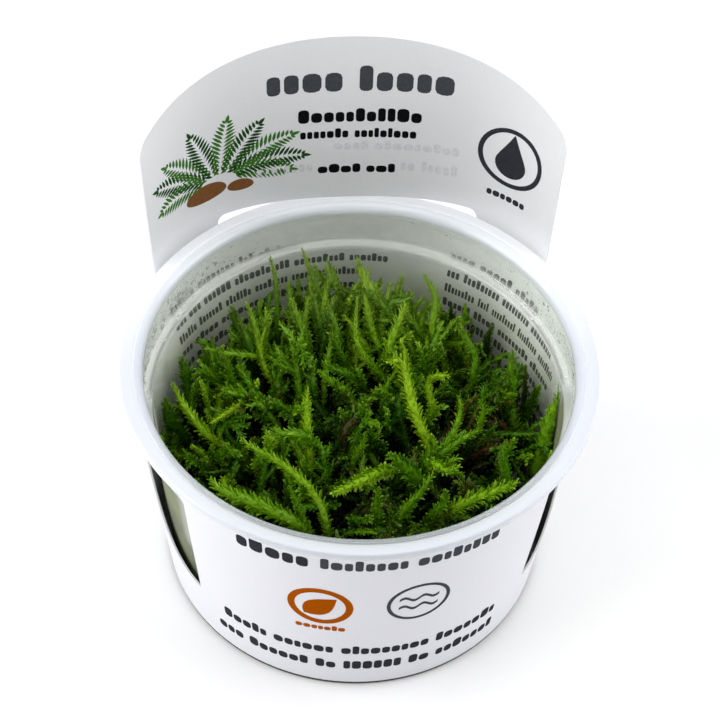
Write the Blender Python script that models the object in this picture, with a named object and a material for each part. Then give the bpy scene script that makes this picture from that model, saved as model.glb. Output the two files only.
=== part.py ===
# Clear culture cup in a printed card sleeve, with a cushion of weeping moss on a thin gel.
# Metres, +Z up. The origin is the centre of the cup's base, and the sleeve's front faces -Y.
import math

import bmesh
import bpy
from mathutils import Vector
from mathutils.geometry import delaunay_2d_cdt

MM = 0.001
GAP = 0.0003

# Cup
CUP_HEIGHT = 0.0592
FLANGE_R = 0.0500
FLANGE_THICK = 0.0008
SKIRT_DEPTH = 0.0016
MOUTH_R = 0.0451
LEDGE_Z = 0.0484
LEDGE_IN_R = 0.0436
LEDGE_OUT_R = 0.0455
BASE_R = 0.0408
WALL = 0.0007
FLOOR = 0.0009
CUP_STEPS = 64

# Card sleeve, measured to its inner face
CARD = 0.0004
CARD_FOOT_Z = 0.0013
CARD_TOP_Z = 0.0572
CARD_BASE_R = 0.0413
CARD_SLOPE = 0.109
BULGE = 0.0041
BULGE_PEAK = math.radians(46)
BULGE_FROM_Z = 0.036

# Header panel, measured along the card from its middle
HEADER_TOP_Z = 0.1023
HEADER_ARC_R = 0.097
HEADER_HALF_FOOT = 0.0497
HEADER_HALF_TOP = 0.0477
HEADER_SIDE_Z = 0.0862
HEADER_CORNER_Z = 0.0903
HEADER_ARC_HALF = 0.0443

# Slot in the card for the flange
SLOT_HALF = 0.0296
SLOT_LOW_Z = 0.0556
SLOT_HIGH_Z = 0.0599

# Side windows, by their angle from the front and their height
WINDOW_FRONT = math.radians(52.5)
WINDOW_BACK = math.radians(82)
WINDOW_TIP_Z = 0.0170
WINDOW_SIDE_Z = 0.0494
WINDOW_TOP_Z = 0.0530

# Gel and moss
GEL_TOP = 0.0066
MOSS_FOOT = GEL_TOP + 2 * GAP
TIP_MIDDLE_Z = 0.0500
TIP_RISE_TO_BACK = 0.20
TIP_FALL_TO_SIDE = 0.10
RING_EDGES = (0.0, 0.0088, 0.0248)
RING_COUNTS = (1, 6, 11)


def clear_scene():
    for old in list(bpy.data.objects):
        bpy.data.objects.remove(old, do_unlink=True)


def material(name, colour, roughness, transmission=0.0):
    made = bpy.data.materials.new(name)
    made.use_nodes = True
    shader = made.node_tree.nodes["Principled BSDF"]
    shader.inputs["Base Color"].default_value = (*colour, 1.0)
    shader.inputs["Roughness"].default_value = roughness
    shader.inputs["Metallic"].default_value = 0.0
    shader.inputs["Transmission Weight"].default_value = transmission
    return made


def add_object(name, mesh, finish, place=(0, 0, 0)):
    made = bpy.data.objects.new(name, mesh)
    made.location = place
    made.data.materials.append(finish)
    bpy.context.collection.objects.link(made)
    return made


def smooth_step(low, high, value):
    t = min(max((value - low) / (high - low), 0.0), 1.0)
    return t * t * (3 - 2 * t)


# Turned pieces

def turned(name, profile, steps, finish):
    """A closed outline of (radius, height) points, spun once round Z."""
    bm = bmesh.new()
    ring = [bm.verts.new((r, 0, z)) for r, z in profile]
    edges = [bm.edges.new(pair) for pair in zip(ring, ring[1:])]
    if profile[0][0] > 0:
        edges.append(bm.edges.new((ring[-1], ring[0])))
    bmesh.ops.spin(bm, geom=ring + edges, cent=(0, 0, 0), axis=(0, 0, 1),
                   angle=math.tau, steps=steps, use_merge=True, use_duplicate=False)
    bmesh.ops.remove_doubles(bm, verts=bm.verts, dist=1e-6)
    bmesh.ops.recalc_face_normals(bm, faces=bm.faces)
    mesh = bpy.data.meshes.new(name)
    bm.to_mesh(mesh)
    bm.free()
    mesh.shade_smooth()
    mesh.set_sharp_from_angle(angle=math.radians(35))
    return add_object(name, mesh, finish)


def arc(centre, radius, start, end, steps):
    """Points on an arc in the profile plane, with the angles in degrees."""
    found = []
    for i in range(steps + 1):
        a = math.radians(start + (end - start) * i / steps)
        found.append((centre[0] + radius * math.cos(a), centre[1] + radius * math.sin(a)))
    return found


def cup_inner_radius(z):
    """The radius of the inner wall below the ledge."""
    foot = BASE_R - WALL
    return foot + (LEDGE_IN_R - foot) * z / LEDGE_Z


def cup_profile():
    outer_r = LEDGE_IN_R + WALL
    band_r = LEDGE_OUT_R + WALL
    under = CUP_HEIGHT - FLANGE_THICK
    lip = 0.0019
    profile = [(0, 0)]
    profile += arc((BASE_R - 0.0016, 0.0016), 0.0016, -90, -5, 3)
    profile += [(outer_r, LEDGE_Z - WALL - 0.0006), (outer_r + 0.0004, LEDGE_Z - WALL)]
    profile += [(band_r - 0.0004, LEDGE_Z - WALL), (band_r, LEDGE_Z - WALL + 0.0004)]
    profile += [(MOUTH_R + 0.0011, under - 0.0012), (MOUTH_R + 0.0024, under)]
    profile += [(FLANGE_R - 0.0008, under), (FLANGE_R - 0.0008, CUP_HEIGHT - SKIRT_DEPTH)]
    profile += [(FLANGE_R, CUP_HEIGHT - SKIRT_DEPTH)]
    profile += arc((FLANGE_R - 0.0005, CUP_HEIGHT - 0.0005), 0.0005, 0, 90, 2)
    profile += arc((MOUTH_R + lip, CUP_HEIGHT - lip), lip, 90, 180, 4)
    profile += [(LEDGE_OUT_R, LEDGE_Z + 0.0004), (LEDGE_OUT_R - 0.0004, LEDGE_Z)]
    profile += [(LEDGE_IN_R + 0.0003, LEDGE_Z), (LEDGE_IN_R, LEDGE_Z - 0.0004)]
    profile += arc((cup_inner_radius(0.0015) - 0.0010, FLOOR + 0.0010), 0.0010, -5, -90, 3)
    profile += [(0, FLOOR)]
    return profile


def make_cup(finish):
    return turned("cup", cup_profile(), CUP_STEPS, finish)


def make_gel(finish):
    floor = FLOOR + GAP
    wall = cup_inner_radius(GEL_TOP) - GAP
    foot = cup_inner_radius(floor) - 0.0012
    profile = [(0, floor), (foot, floor), (cup_inner_radius(0.0025) - GAP, 0.0025)]
    profile += [(wall, GEL_TOP + 0.0002), (wall - 0.0008, GEL_TOP), (0, GEL_TOP)]
    return turned("culture_gel", profile, CUP_STEPS, finish)


# Card sleeve. A point on it is given by its angle from the back, 0 at +Y, and its height.

def cone_radius(z):
    return CARD_BASE_R + CARD_SLOPE * z


def back_radius(angle):
    """The card's radius level with the flange, which it passes inside and then outside."""
    swell = math.sin(0.5 * math.pi * angle / BULGE_PEAK) ** 2
    inside = 1.0 if abs(angle) < 2 * BULGE_PEAK else 0.0
    return cone_radius(CUP_HEIGHT) - 0.0002 + BULGE * swell * inside


def back_point(angle):
    r = back_radius(angle)
    return Vector((r * math.sin(angle), r * math.cos(angle)))


def back_normal(angle):
    step = 0.001
    along = back_point(angle + step) - back_point(angle - step)
    return Vector((-along.y, along.x)).normalized()


def card_point(angle, z):
    """The place in space of a point on the card's inner face."""
    if z > CUP_HEIGHT:
        at = back_point(angle) + back_normal(angle) * CARD_SLOPE * (z - CUP_HEIGHT)
        return Vector((at.x, at.y, z))
    share = smooth_step(BULGE_FROM_Z, CUP_HEIGHT, z)
    r = cone_radius(z) + (back_radius(angle) - cone_radius(CUP_HEIGHT)) * share
    return Vector((r * math.sin(angle), r * math.cos(angle), z))


def angle_table():
    """How far along the card each angle from the back is, level with the flange."""
    count = 400
    table = [(0.0, 0.0)]
    for i in range(count):
        a, b = (math.radians(90) * k / count for k in (i, i + 1))
        table.append((table[-1][0] + (back_point(b) - back_point(a)).length, b))
    return table


def angle_at(along, table):
    """The angle from the back of a point that is this far along the card."""
    far = abs(along)
    for (s0, a0), (s1, a1) in zip(table, table[1:]):
        if far <= s1:
            return math.copysign(a0 + (a1 - a0) * (far - s0) / (s1 - s0), along)
    return math.copysign(table[-1][1], along)


def header_half():
    """The right half of the header's outline, from its foot to the middle of its top."""
    points = []
    for i in range(6):
        t = i / 5
        points.append((HEADER_HALF_FOOT + (HEADER_HALF_TOP - HEADER_HALF_FOOT) * t,
                       CARD_TOP_Z + (HEADER_SIDE_Z - CARD_TOP_Z) * t))
    end_z = arc_height(HEADER_ARC_HALF)
    for i in range(1, 6):
        t = i / 5
        points.append(((1 - t) ** 2 * HEADER_HALF_TOP + 2 * t * (1 - t) * HEADER_HALF_TOP
                       + t * t * HEADER_ARC_HALF,
                       (1 - t) ** 2 * HEADER_SIDE_Z + 2 * t * (1 - t) * HEADER_CORNER_Z
                       + t * t * end_z))
    for i in range(1, 11):
        s = HEADER_ARC_HALF * (1 - i / 10)
        points.append((s, arc_height(s)))
    return points


def arc_height(s):
    return HEADER_TOP_Z - HEADER_ARC_R + math.sqrt(HEADER_ARC_R ** 2 - s * s)


def sleeve_outline(table):
    """The card's whole outline, from its foot at the front, with its two front ends level."""
    columns = [math.pi * (i / 45 - 1) for i in range(91)]
    foot = [(a, CARD_FOOT_Z) for a in columns]
    rows = [CARD_FOOT_Z + (CARD_TOP_Z - CARD_FOOT_Z) * i / 8 for i in range(1, 9)]
    edge = angle_at(HEADER_HALF_FOOT, table)
    right = [(angle_at(s, table), z) for s, z in header_half()]
    left = [(-a, z) for a, z in reversed(right[:-1])]
    strip = [a for a in columns if a > edge + 0.02]
    outline = foot + [(math.pi, z) for z in rows]
    outline += [(a, CARD_TOP_Z) for a in reversed(strip[:-1])]
    outline += right + left
    outline += [(-a, CARD_TOP_Z) for a in strip[:-1]]
    outline += [(-math.pi, z) for z in reversed(rows)]
    return outline


def slot_outline(table):
    mid = 0.5 * (SLOT_LOW_Z + SLOT_HIGH_Z)
    r = 0.5 * (SLOT_HIGH_Z - SLOT_LOW_Z)
    straight = SLOT_HALF - r
    found = []
    for i in range(9):
        found.append((straight * (i / 4 - 1), SLOT_LOW_Z))
    for i in range(1, 6):
        a = math.pi * (i / 6 - 0.5)
        found.append((straight + r * math.cos(a), mid + r * math.sin(a)))
    for i in range(9):
        found.append((straight * (1 - i / 4), SLOT_HIGH_Z))
    for i in range(1, 6):
        a = math.pi * (i / 6 + 0.5)
        found.append((-straight + r * math.cos(a), mid + r * math.sin(a)))
    return [(angle_at(s, table), z) for s, z in found]


def window_outline(side):
    """A window's outline: a straight front edge, and a back edge that sweeps down to a tip."""
    span = WINDOW_BACK - WINDOW_FRONT
    found = [(WINDOW_FRONT, WINDOW_TIP_Z + (WINDOW_SIDE_Z - WINDOW_TIP_Z) * i / 4)
             for i in range(1, 5)]
    found.append((WINDOW_FRONT + 0.27 * span, WINDOW_TOP_Z - 0.0004))
    found.append((WINDOW_FRONT + 0.60 * span, WINDOW_TOP_Z))
    found.append((WINDOW_FRONT + 0.88 * span, WINDOW_TOP_Z))
    found.append((WINDOW_BACK, WINDOW_TOP_Z - 0.0025))
    reach = WINDOW_TOP_Z - 0.0060 - WINDOW_TIP_Z
    for i in range(9):
        a = math.radians(90) * (1 - i / 8)
        found.append((WINDOW_FRONT + span * math.sin(a) ** 0.9,
                      WINDOW_TIP_Z + reach * (1 - math.cos(a))))
    return [(side * (math.pi - a), z) for a, z in found]


def inner_grid():
    """Points across the card that carry its curve between the outlines."""
    found = []
    for i in range(1, 72):
        angle = math.pi * (i / 36 - 1)
        for z in (0.0125, 0.0245, 0.0355, 0.0430, 0.0500, 0.0540):
            found.append((angle, z))
        if abs(angle) < math.radians(52):
            found += [(angle, z) for z in (0.0625, 0.0700, 0.0790, 0.0880, 0.0955)]
    return found


def inside(point, polygon):
    """Whether a point of the flat card is inside an outline."""
    x, y = point
    hit = False
    for (x0, y0), (x1, y1) in zip(polygon, polygon[1:] + polygon[:1]):
        if (y0 > y) != (y1 > y) and x < x0 + (y - y0) * (x1 - x0) / (y1 - y0):
            hit = not hit
    return hit


def far_from(point, outline, least):
    """Whether a point of the flat card keeps this distance from an outline's sides."""
    for a, b in zip(outline, outline[1:] + outline[:1]):
        side = b - a
        t = min(max((point - a).dot(side) / max(side.length_squared, 1e-12), 0), 1)
        if (a + side * t - point).length < least:
            return False
    return True


def flat_card(table):
    """The card laid flat: its points, and triangles with the slot and windows left out."""
    unit = 0.0477
    outlines = [sleeve_outline(table), slot_outline(table), window_outline(1), window_outline(-1)]
    flat = [[Vector((a * unit, z)) for a, z in outline] for outline in outlines]
    points = []
    loops = []
    for outline in flat:
        loops.append(list(range(len(points), len(points) + len(outline))))
        points += outline
    for angle, z in inner_grid():
        point = Vector((angle * unit, z))
        if inside(point, flat[0]) and all(far_from(point, o, 0.0016) for o in flat):
            points.append(point)
    edges = [(a, b) for loop in loops for a, b in zip(loop, loop[1:] + loop[:1])]
    points, _, faces, _, _, _ = delaunay_2d_cdt(points, edges, [], 1, 1e-7)
    kept = []
    for face in faces:
        middle = sum((points[i] for i in face), Vector((0, 0))) / len(face)
        if not any(inside(middle, hole) for hole in flat[1:]):
            kept.append(face)
    return [(p.x / unit, p.y) for p in points], kept


def make_sleeve(finish):
    points, faces = flat_card(angle_table())
    bm = bmesh.new()
    verts = [bm.verts.new(card_point(a, z)) for a, z in points]
    for face in faces:
        bm.faces.new([verts[i] for i in face])
    loose = [v for v in bm.verts if not v.link_faces]
    bmesh.ops.delete(bm, geom=loose, context="VERTS")
    bmesh.ops.remove_doubles(bm, verts=bm.verts, dist=1e-6)
    bmesh.ops.recalc_face_normals(bm, faces=bm.faces)
    outward = sum(f.normal.dot(f.calc_center_median() * Vector((1, 1, 0))) for f in bm.faces)
    if outward < 0:
        bmesh.ops.reverse_faces(bm, faces=bm.faces)
    mesh = bpy.data.meshes.new("sleeve")
    bm.to_mesh(mesh)
    bm.free()
    made = add_object("sleeve", mesh, finish)
    wall = made.modifiers.new("card thickness", "SOLIDIFY")
    wall.thickness = CARD
    wall.offset = 1.0
    return made


# Moss clumps

def tip_height(x, y):
    return TIP_MIDDLE_Z + TIP_RISE_TO_BACK * y - TIP_FALL_TO_SIDE * abs(x)


def cell_outline(r_in, r_out, start, end):
    """The outline of one clump seen from above: a disc in the middle, or a part of a ring."""
    if r_in < GAP:
        return [(r_out, math.tau * i / 10) for i in range(10)]
    outer = [(r_out, start + (end - start) * i / 4) for i in range(5)]
    inner = [(r_in, end - (end - start) * i / 2) for i in range(3)]
    return outer + inner


def shrunk(points, centre, share):
    return [centre + (p - centre) * share for p in points]


def make_tuft(index, ring, start, end, finish):
    edges = RING_EDGES + (None,)
    r_in = edges[ring] + GAP / 2
    middle = 0.5 * (start + end)
    levels = []
    foot_r = edges[ring + 1] or cup_inner_radius(MOSS_FOOT)
    at_r = 0.0 if ring == 0 else 0.5 * (edges[ring] + foot_r)
    centre = Vector((at_r * math.cos(middle), at_r * math.sin(middle)))
    tip = tip_height(centre.x, centre.y)
    turn = GAP / 2 / max(at_r, 0.001)
    for share, width in ((0.0, 0.97), (0.30, 1.0), (0.62, 1.0), (0.86, 0.84), (1.0, 0.52)):
        z = MOSS_FOOT + (tip - MOSS_FOOT) * share
        r_out = (edges[ring + 1] or cup_inner_radius(z) - GAP) - GAP / 2
        outline = cell_outline(r_in, r_out, start + turn, end - turn)
        flat = [Vector((r * math.cos(a), r * math.sin(a))) for r, a in outline]
        levels.append([(p.x, p.y, z) for p in shrunk(flat, centre, width)])
    place = Vector((centre.x, centre.y, MOSS_FOOT))
    bm = bmesh.new()
    loops = [[bm.verts.new(Vector(p) - place) for p in level] for level in levels]
    for low, high in zip(loops, loops[1:]):
        for i, vert in enumerate(low):
            j = (i + 1) % len(low)
            bm.faces.new((vert, low[j], high[j], high[i]))
    bm.faces.new(list(reversed(loops[0])))
    bm.faces.new(loops[-1])
    bmesh.ops.recalc_face_normals(bm, faces=bm.faces)
    bmesh.ops.triangulate(bm, faces=bm.faces)
    name = f"moss_tuft_{index:02d}"
    mesh = bpy.data.meshes.new(name)
    bm.to_mesh(mesh)
    bm.free()
    return add_object(name, mesh, finish, place)


def make_moss(finish):
    index = 0
    for ring, count in enumerate(RING_COUNTS):
        for i in range(count):
            start = math.tau * (i - 0.5) / count + math.radians(90)
            make_tuft(index, ring, start, start + math.tau / count, finish)
            index += 1


def main():
    clear_scene()
    make_cup(material("clear plastic", (0.90, 0.94, 0.95), 0.08, 0.9))
    make_sleeve(material("printed card", (0.86, 0.86, 0.89), 0.45))
    make_gel(material("culture gel", (0.86, 0.87, 0.80), 0.20, 0.8))
    make_moss(material("moss", (0.13, 0.30, 0.03), 0.60))


main()
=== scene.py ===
# %% [markdown]
# # A cup of weeping moss in its printed card sleeve
# The object is a shallow clear cup, 100 mm across its flange, with a thin layer of culture
# gel and a cushion of moss in it. A card sleeve is wrapped round the cup. Behind the rim the
# card stands up as a header panel, and the flange passes through a slot in it.
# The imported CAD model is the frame: each piece below is made in metres, where the CAD says.

# %% Load the frame
import math

import bpy
import numpy as np
from mathutils import Matrix, Vector


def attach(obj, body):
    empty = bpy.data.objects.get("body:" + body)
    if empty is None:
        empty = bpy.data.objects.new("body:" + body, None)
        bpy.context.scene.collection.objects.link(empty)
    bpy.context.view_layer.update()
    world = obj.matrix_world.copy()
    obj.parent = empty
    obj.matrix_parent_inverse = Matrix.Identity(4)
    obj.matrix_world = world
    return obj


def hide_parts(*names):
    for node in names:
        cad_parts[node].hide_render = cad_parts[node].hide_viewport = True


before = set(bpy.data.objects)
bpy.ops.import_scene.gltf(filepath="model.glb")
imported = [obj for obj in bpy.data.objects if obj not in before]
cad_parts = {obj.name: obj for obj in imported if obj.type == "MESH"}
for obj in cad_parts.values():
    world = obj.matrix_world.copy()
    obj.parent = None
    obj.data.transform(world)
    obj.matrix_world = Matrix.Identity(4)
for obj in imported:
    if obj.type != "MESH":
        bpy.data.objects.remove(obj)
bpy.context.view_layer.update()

# %% [markdown]
# ## Sizes
# These are the sizes of the real thing that the CAD model was built to, all in metres. The
# pieces below repeat them, because a finer piece has to lie just where its CAD solid lies.

# %% Sizes of the cup and the card
CUP_HEIGHT = 0.0592
FLANGE_R = 0.0500
FLANGE_THICK = 0.0008
SKIRT_DEPTH = 0.0016
MOUTH_R = 0.0451
LIP_ROUND = 0.0019
LEDGE_Z = 0.0484
LEDGE_IN_R = 0.0436
LEDGE_OUT_R = 0.0455
BASE_R = 0.0408
WALL = 0.0007
FLOOR = 0.0009
GEL_TOP = 0.0066

CARD = 0.0004
CARD_FOOT_Z = 0.0013
CARD_TOP_Z = 0.0572
CARD_BASE_R = 0.0413
CARD_SLOPE = 0.109
BULGE = 0.0041
BACK_IN = 0.0002
BULGE_PEAK = math.radians(46)
BULGE_FROM_Z = 0.036

# %% [markdown]
# ## Helpers
# An operator in Blender acts on whatever is selected, so a step starts by deselecting all.
# These few helpers do what a hand does between steps: pick one piece, go in or out of edit
# mode, and recalculate which way the faces point.

# %% Helpers for picking and finishing a piece
def deselect_all():
    if bpy.context.object and bpy.context.object.mode != "OBJECT":
        bpy.ops.object.mode_set(mode="OBJECT")
    bpy.ops.object.select_all(action="DESELECT")


def pick(piece):
    """Makes one piece the selected and active one."""
    deselect_all()
    piece.select_set(True)
    bpy.context.view_layer.objects.active = piece


def edit(piece):
    """Goes into edit mode with the whole of one piece selected."""
    pick(piece)
    bpy.ops.object.mode_set(mode="EDIT")
    bpy.ops.mesh.select_all(action="SELECT")


def finish_edit(merge=1e-6):
    """Merges doubles, or none if merge is 0, turns the faces outwards and leaves edit mode."""
    bpy.ops.mesh.select_all(action="SELECT")
    if merge:
        bpy.ops.mesh.remove_doubles(threshold=merge)
    bpy.ops.mesh.normals_make_consistent(inside=False)
    bpy.ops.object.mode_set(mode="OBJECT")


def apply_modifiers(piece):
    pick(piece)
    for modifier in list(piece.modifiers):
        bpy.ops.object.modifier_apply(modifier=modifier.name)


def add_to_scene(name, data):
    """A new object in the scene, at the origin, that holds a mesh, curve, lamp or camera."""
    added = bpy.data.objects.new(name, data)
    bpy.context.scene.collection.objects.link(added)
    return added


def piece_from(name, points, faces):
    """A new mesh piece from lists of points and faces."""
    mesh = bpy.data.meshes.new(name)
    mesh.from_pydata(points, [], faces)
    return add_to_scene(name, mesh)


def place_in_frame(piece, material, slot, *nodes):
    """Gives a piece its finish, lets it ride on the cup's body and replaces its CAD nodes."""
    piece.data.materials.clear()
    piece.data.materials.append(material)
    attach(piece, "root")
    if nodes:
        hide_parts(*nodes)
    faces = sum(len(p.vertices) - 2 for p in piece.data.polygons)
    print(f"{piece.name}: {faces} triangles")


# %% [markdown]
# ## Camera
# The photograph looks down into the mouth from the front, about 49 degrees above level and
# a little from the left. A 105 mm lens at 0.44 m gives the same strong narrowing to the foot.

# %% Camera at the photograph's angle
CAMERA_AZIMUTH = math.radians(-5.7)
CAMERA_ELEVATION = math.radians(49.056)
CAMERA_ROLL = math.radians(2.636)
CAMERA_DISTANCE = 0.43753
CAMERA_LENS_MM = 105
CAMERA_FILM_MM = 36


def add_camera():
    level = math.cos(CAMERA_ELEVATION)
    back = Vector((math.sin(CAMERA_AZIMUTH) * level, -math.cos(CAMERA_AZIMUTH) * level,
                   math.sin(CAMERA_ELEVATION)))
    right = (-back).cross(Vector((0, 0, 1))).normalized()
    up = right.cross(-back)
    turned_right = right * math.cos(CAMERA_ROLL) + up * math.sin(CAMERA_ROLL)
    turned_up = up * math.cos(CAMERA_ROLL) - right * math.sin(CAMERA_ROLL)
    matrix = Matrix((turned_right, turned_up, back)).transposed().to_4x4()
    matrix.translation = back * CAMERA_DISTANCE + Vector((0, 0, CUP_HEIGHT))
    camera = add_to_scene("camera", bpy.data.cameras.new("camera"))
    camera.data.lens = CAMERA_LENS_MM
    camera.data.sensor_width = CAMERA_FILM_MM
    camera.data.clip_start = 0.01
    camera.matrix_world = matrix
    bpy.context.scene.camera = camera
    print("camera", [round(c, 4) for c in matrix.translation])


add_camera()

# %% [markdown]
# ## Light and floor
# Two large soft boxes at the sides light the ends of the curved header more than its middle,
# and the left one is a little stronger and has a low one under it. A box overhead whitens the
# floor and the flange, and a weak one behind makes the tips of the moss glow. A pale sky fills
# what is left, and gives the clear plastic something bright to mirror.

# %% Sky, soft boxes and floor
SKY_COLOUR = (0.97, 0.98, 1.0, 1)
SKY_STRENGTH = 0.22
STAGE_WIDTH = 4
LAMPS_AIM = Vector((0, 0, 0.05))
SOFT_BOXES = (
    # name, place, size in metres, watts
    ("box left", (-0.75, -0.10, 0.42), 0.70, 5.8),
    ("box right", (0.75, -0.05, 0.42), 0.70, 4.8),
    ("box low left", (-0.70, -0.35, 0.15), 0.50, 0.3),
    ("box over", (0.0, 0.0, 0.90), 0.80, 3.7),
    ("box behind", (0.05, 0.45, 0.75), 0.60, 0.7),
)


def add_light():
    world = bpy.data.worlds.new("studio")
    world.use_nodes = True
    sky = world.node_tree.nodes["Background"]
    sky.inputs["Color"].default_value = SKY_COLOUR
    sky.inputs["Strength"].default_value = SKY_STRENGTH
    bpy.context.scene.world = world
    for name, place, size, watts in SOFT_BOXES:
        lamp = bpy.data.lights.new(name, "AREA")
        lamp.shape = "SQUARE"
        lamp.size = size
        lamp.energy = watts
        holder = add_to_scene(name, lamp)
        holder.location = place
        aim = LAMPS_AIM - Vector(place)
        holder.rotation_euler = aim.to_track_quat("-Z", "Y").to_euler()
    bpy.context.scene.view_settings.view_transform = "Standard"
    print(len(SOFT_BOXES), "soft boxes")


def add_floor():
    deselect_all()
    bpy.ops.mesh.primitive_plane_add(size=STAGE_WIDTH)
    floor = bpy.context.object
    floor.name = "floor"
    finish = bpy.data.materials.new("pale floor")
    finish.use_nodes = True
    shader = finish.node_tree.nodes["Principled BSDF"]
    shader.inputs["Base Color"].default_value = (0.95, 0.95, 0.95, 1)
    shader.inputs["Roughness"].default_value = 0.9
    shader.inputs["Specular IOR Level"].default_value = 0.1
    floor.data.materials.append(finish)


add_light()
add_floor()

# %% [markdown]
# ## Building a finish
# A finish is a small tree of nodes. This helper adds a node, sets its plain values by name
# and links the sockets it is given, so that a finish below reads as a short list. A colour is
# three numbers, and in a ramp it may be one number, which stands for a grey.

# %% Helper for finishes
class Finish:
    """A material being built: add() makes a node, sets values and links inputs."""

    def __init__(self, name):
        self.material = bpy.data.materials.new(name)
        self.material.use_nodes = True
        self.tree = self.material.node_tree
        self.shader = self.tree.nodes["Principled BSDF"]
        self.out = self.tree.nodes["Material Output"]

    def add(self, kind, inputs=None, **settings):
        node = self.tree.nodes.new("ShaderNode" + kind)
        for key, value in settings.items():
            setattr(node, key, value)
        self.feed(node, inputs or {})
        return node

    def feed(self, node, inputs):
        for key, value in inputs.items():
            if isinstance(value, bpy.types.NodeSocket):
                self.tree.links.new(value, node.inputs[key])
            else:
                node.inputs[key].default_value = value

    def ramp(self, factor, *stops):
        """A colour ramp with (place, colour or grey) stops."""
        node = self.add("ValToRGB", {"Fac": factor})
        elements = node.color_ramp.elements
        while len(elements) < len(stops):
            elements.new(0.5)
        for element, (place, colour) in zip(elements, stops):
            element.position = place
            element.color = (*(colour if isinstance(colour, tuple) else (colour,) * 3), 1)
        return node.outputs["Color"]

    def math(self, operation, *values):
        return self.add("Math", dict(enumerate(values)), operation=operation).outputs[0]

    def product(self, first, *others):
        for value in others:
            first = self.math("MULTIPLY", first, value)
        return first

    def rise(self, mask, more, start):
        """A number that is start where the mask is 0, and this much more where it is 1."""
        return self.math("MULTIPLY_ADD", mask, more, start)

    def slope(self, value, start, end, high=1.0, kind="LINEAR"):
        """From 0 where value is start, straight to high where it is end, held outside them."""
        return self.add("MapRange", {"Value": value, "From Min": start, "From Max": end,
                                     "To Max": high}, interpolation_type=kind).outputs[0]

    def between(self, value, start, end):
        """From 0 to 1 like slope, but with soft ends."""
        return self.slope(value, start, end, kind="SMOOTHSTEP")

    def object_place(self):
        return self.add("TexCoord").outputs["Object"]

    def split(self, vector):
        """The outputs X, Y and Z of a vector."""
        return self.add("SeparateXYZ", {"Vector": vector}).outputs

    def from_axis(self, place):
        """The distance from the cup's axis."""
        level = self.add("VectorMath", {0: place, 1: (1, 1, 0)}, operation="MULTIPLY").outputs[0]
        return self.add("VectorMath", {0: level}, operation="LENGTH").outputs["Value"]

    def noise(self, scale, detail=2.0, roughness=0.5, vector=None):
        node = self.add("TexNoise", {"Scale": scale, "Detail": detail, "Roughness": roughness,
                                     "Vector": vector or self.object_place()})
        return node.outputs["Fac"]

    def bump(self, height, strength, distance):
        node = self.add("Bump", {"Height": height, "Strength": strength, "Distance": distance})
        self.feed(self.shader, {"Normal": node.outputs["Normal"]})

    def mix(self, factor, a, b, blend="MIX"):
        """Mixes two colours, each a socket or three numbers."""
        a, b = ((*c, 1) if isinstance(c, tuple) else c for c in (a, b))
        node = self.add("Mix", {0: factor, 6: a, 7: b}, data_type="RGBA", blend_type=blend)
        return node.outputs[2]

    def let_lamps_through(self, tint):
        """Shadow rays pass straight through a clear wall, so the lamps light what is inside."""
        rays = self.add("LightPath")
        clear = self.add("BsdfTransparent", {"Color": (*tint, 1)})
        mixed = self.add("MixShader", {0: rays.outputs["Is Shadow Ray"],
                                       1: self.shader.outputs["BSDF"],
                                       2: clear.outputs["BSDF"]})
        self.tree.links.new(mixed.outputs[0], self.out.inputs["Surface"])


# %% [markdown]
# ## Clear plastic
# The cup is moulded in thin clear plastic. Its walls are clear, but where the plastic is thick
# or was stretched in the mould it turns milky: on the ledge, round the lip and most of all on
# the flange. So how much light goes straight through is painted by masks, which read the height,
# the distance from the axis and how far back a place is. The milky colour is painted lighter
# towards the back and greyer at the front, a painted light, and the flange is milkier at the
# back to carry it. Low at the back the clear wall has a painted shade, darker and greener, and
# the inner edge of the lip a painted grey-blue shade. Above the ledge fine mist roughens the
# wall in patches, but not at the front. Where the card leaves the wall open at the sides, the
# wall is painted a milky moss green with a grey edge, which stands in for the moss seen through
# it and covers the shade between card and wall. The foot's edge is painted near black, a
# painted shade.

# %% Where the plastic is thick or misted, and where light and shade are painted on it
def plastic_zones(f, place):
    """Masks from 0 to 1, by height z, by how far back y is, and by distance from the axis."""
    at = f.split(place)
    y, z = at["Y"], at["Z"]
    radius = f.from_axis(place)
    patches = f.ramp(f.noise(90, 4, 0.6, place), (0.38, 0.0), (0.62, 1.0))
    return {
        "height": f.slope(z, 0.044, 0.060),
        "painted_light_towards_back": f.slope(y, -0.050, 0.036),
        "flange": f.between(radius, 0.0467, 0.0480),
        "flange_rear": f.between(y, 0.0, 0.036),
        "lip": f.between(z, 0.0560, 0.0580),
        "lip_rear": f.between(y, -0.040, -0.010),
        "painted_shade_inside_lip": f.product(f.between(z, 0.0560, 0.0575), f.between(radius, 0.0474, 0.0467)),
        "mist": f.product(f.between(z, LEDGE_Z, LEDGE_Z + 0.002), f.between(z, 0.0560, 0.0545),
                          patches, f.between(y, -0.034, -0.016)),
        "painted_shade_low_rear": f.product(f.between(z, 0.046, 0.040), f.between(y, -0.004, 0.010)),
        "window": f.product(f.between(z, 0.0500, 0.0470), f.between(z, 0.0030, 0.0080),
                            f.between(y, 0.003, -0.003), f.between(y, -0.032, -0.028)),
        "window_grey_edge": f.product(f.between(y, -0.0195, -0.0225), f.between(z, 0.024, 0.030)),
        "foot": f.product(f.between(z, 0.0022, 0.0012), f.between(radius, 0.0385, 0.0395)),
    }


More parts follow.
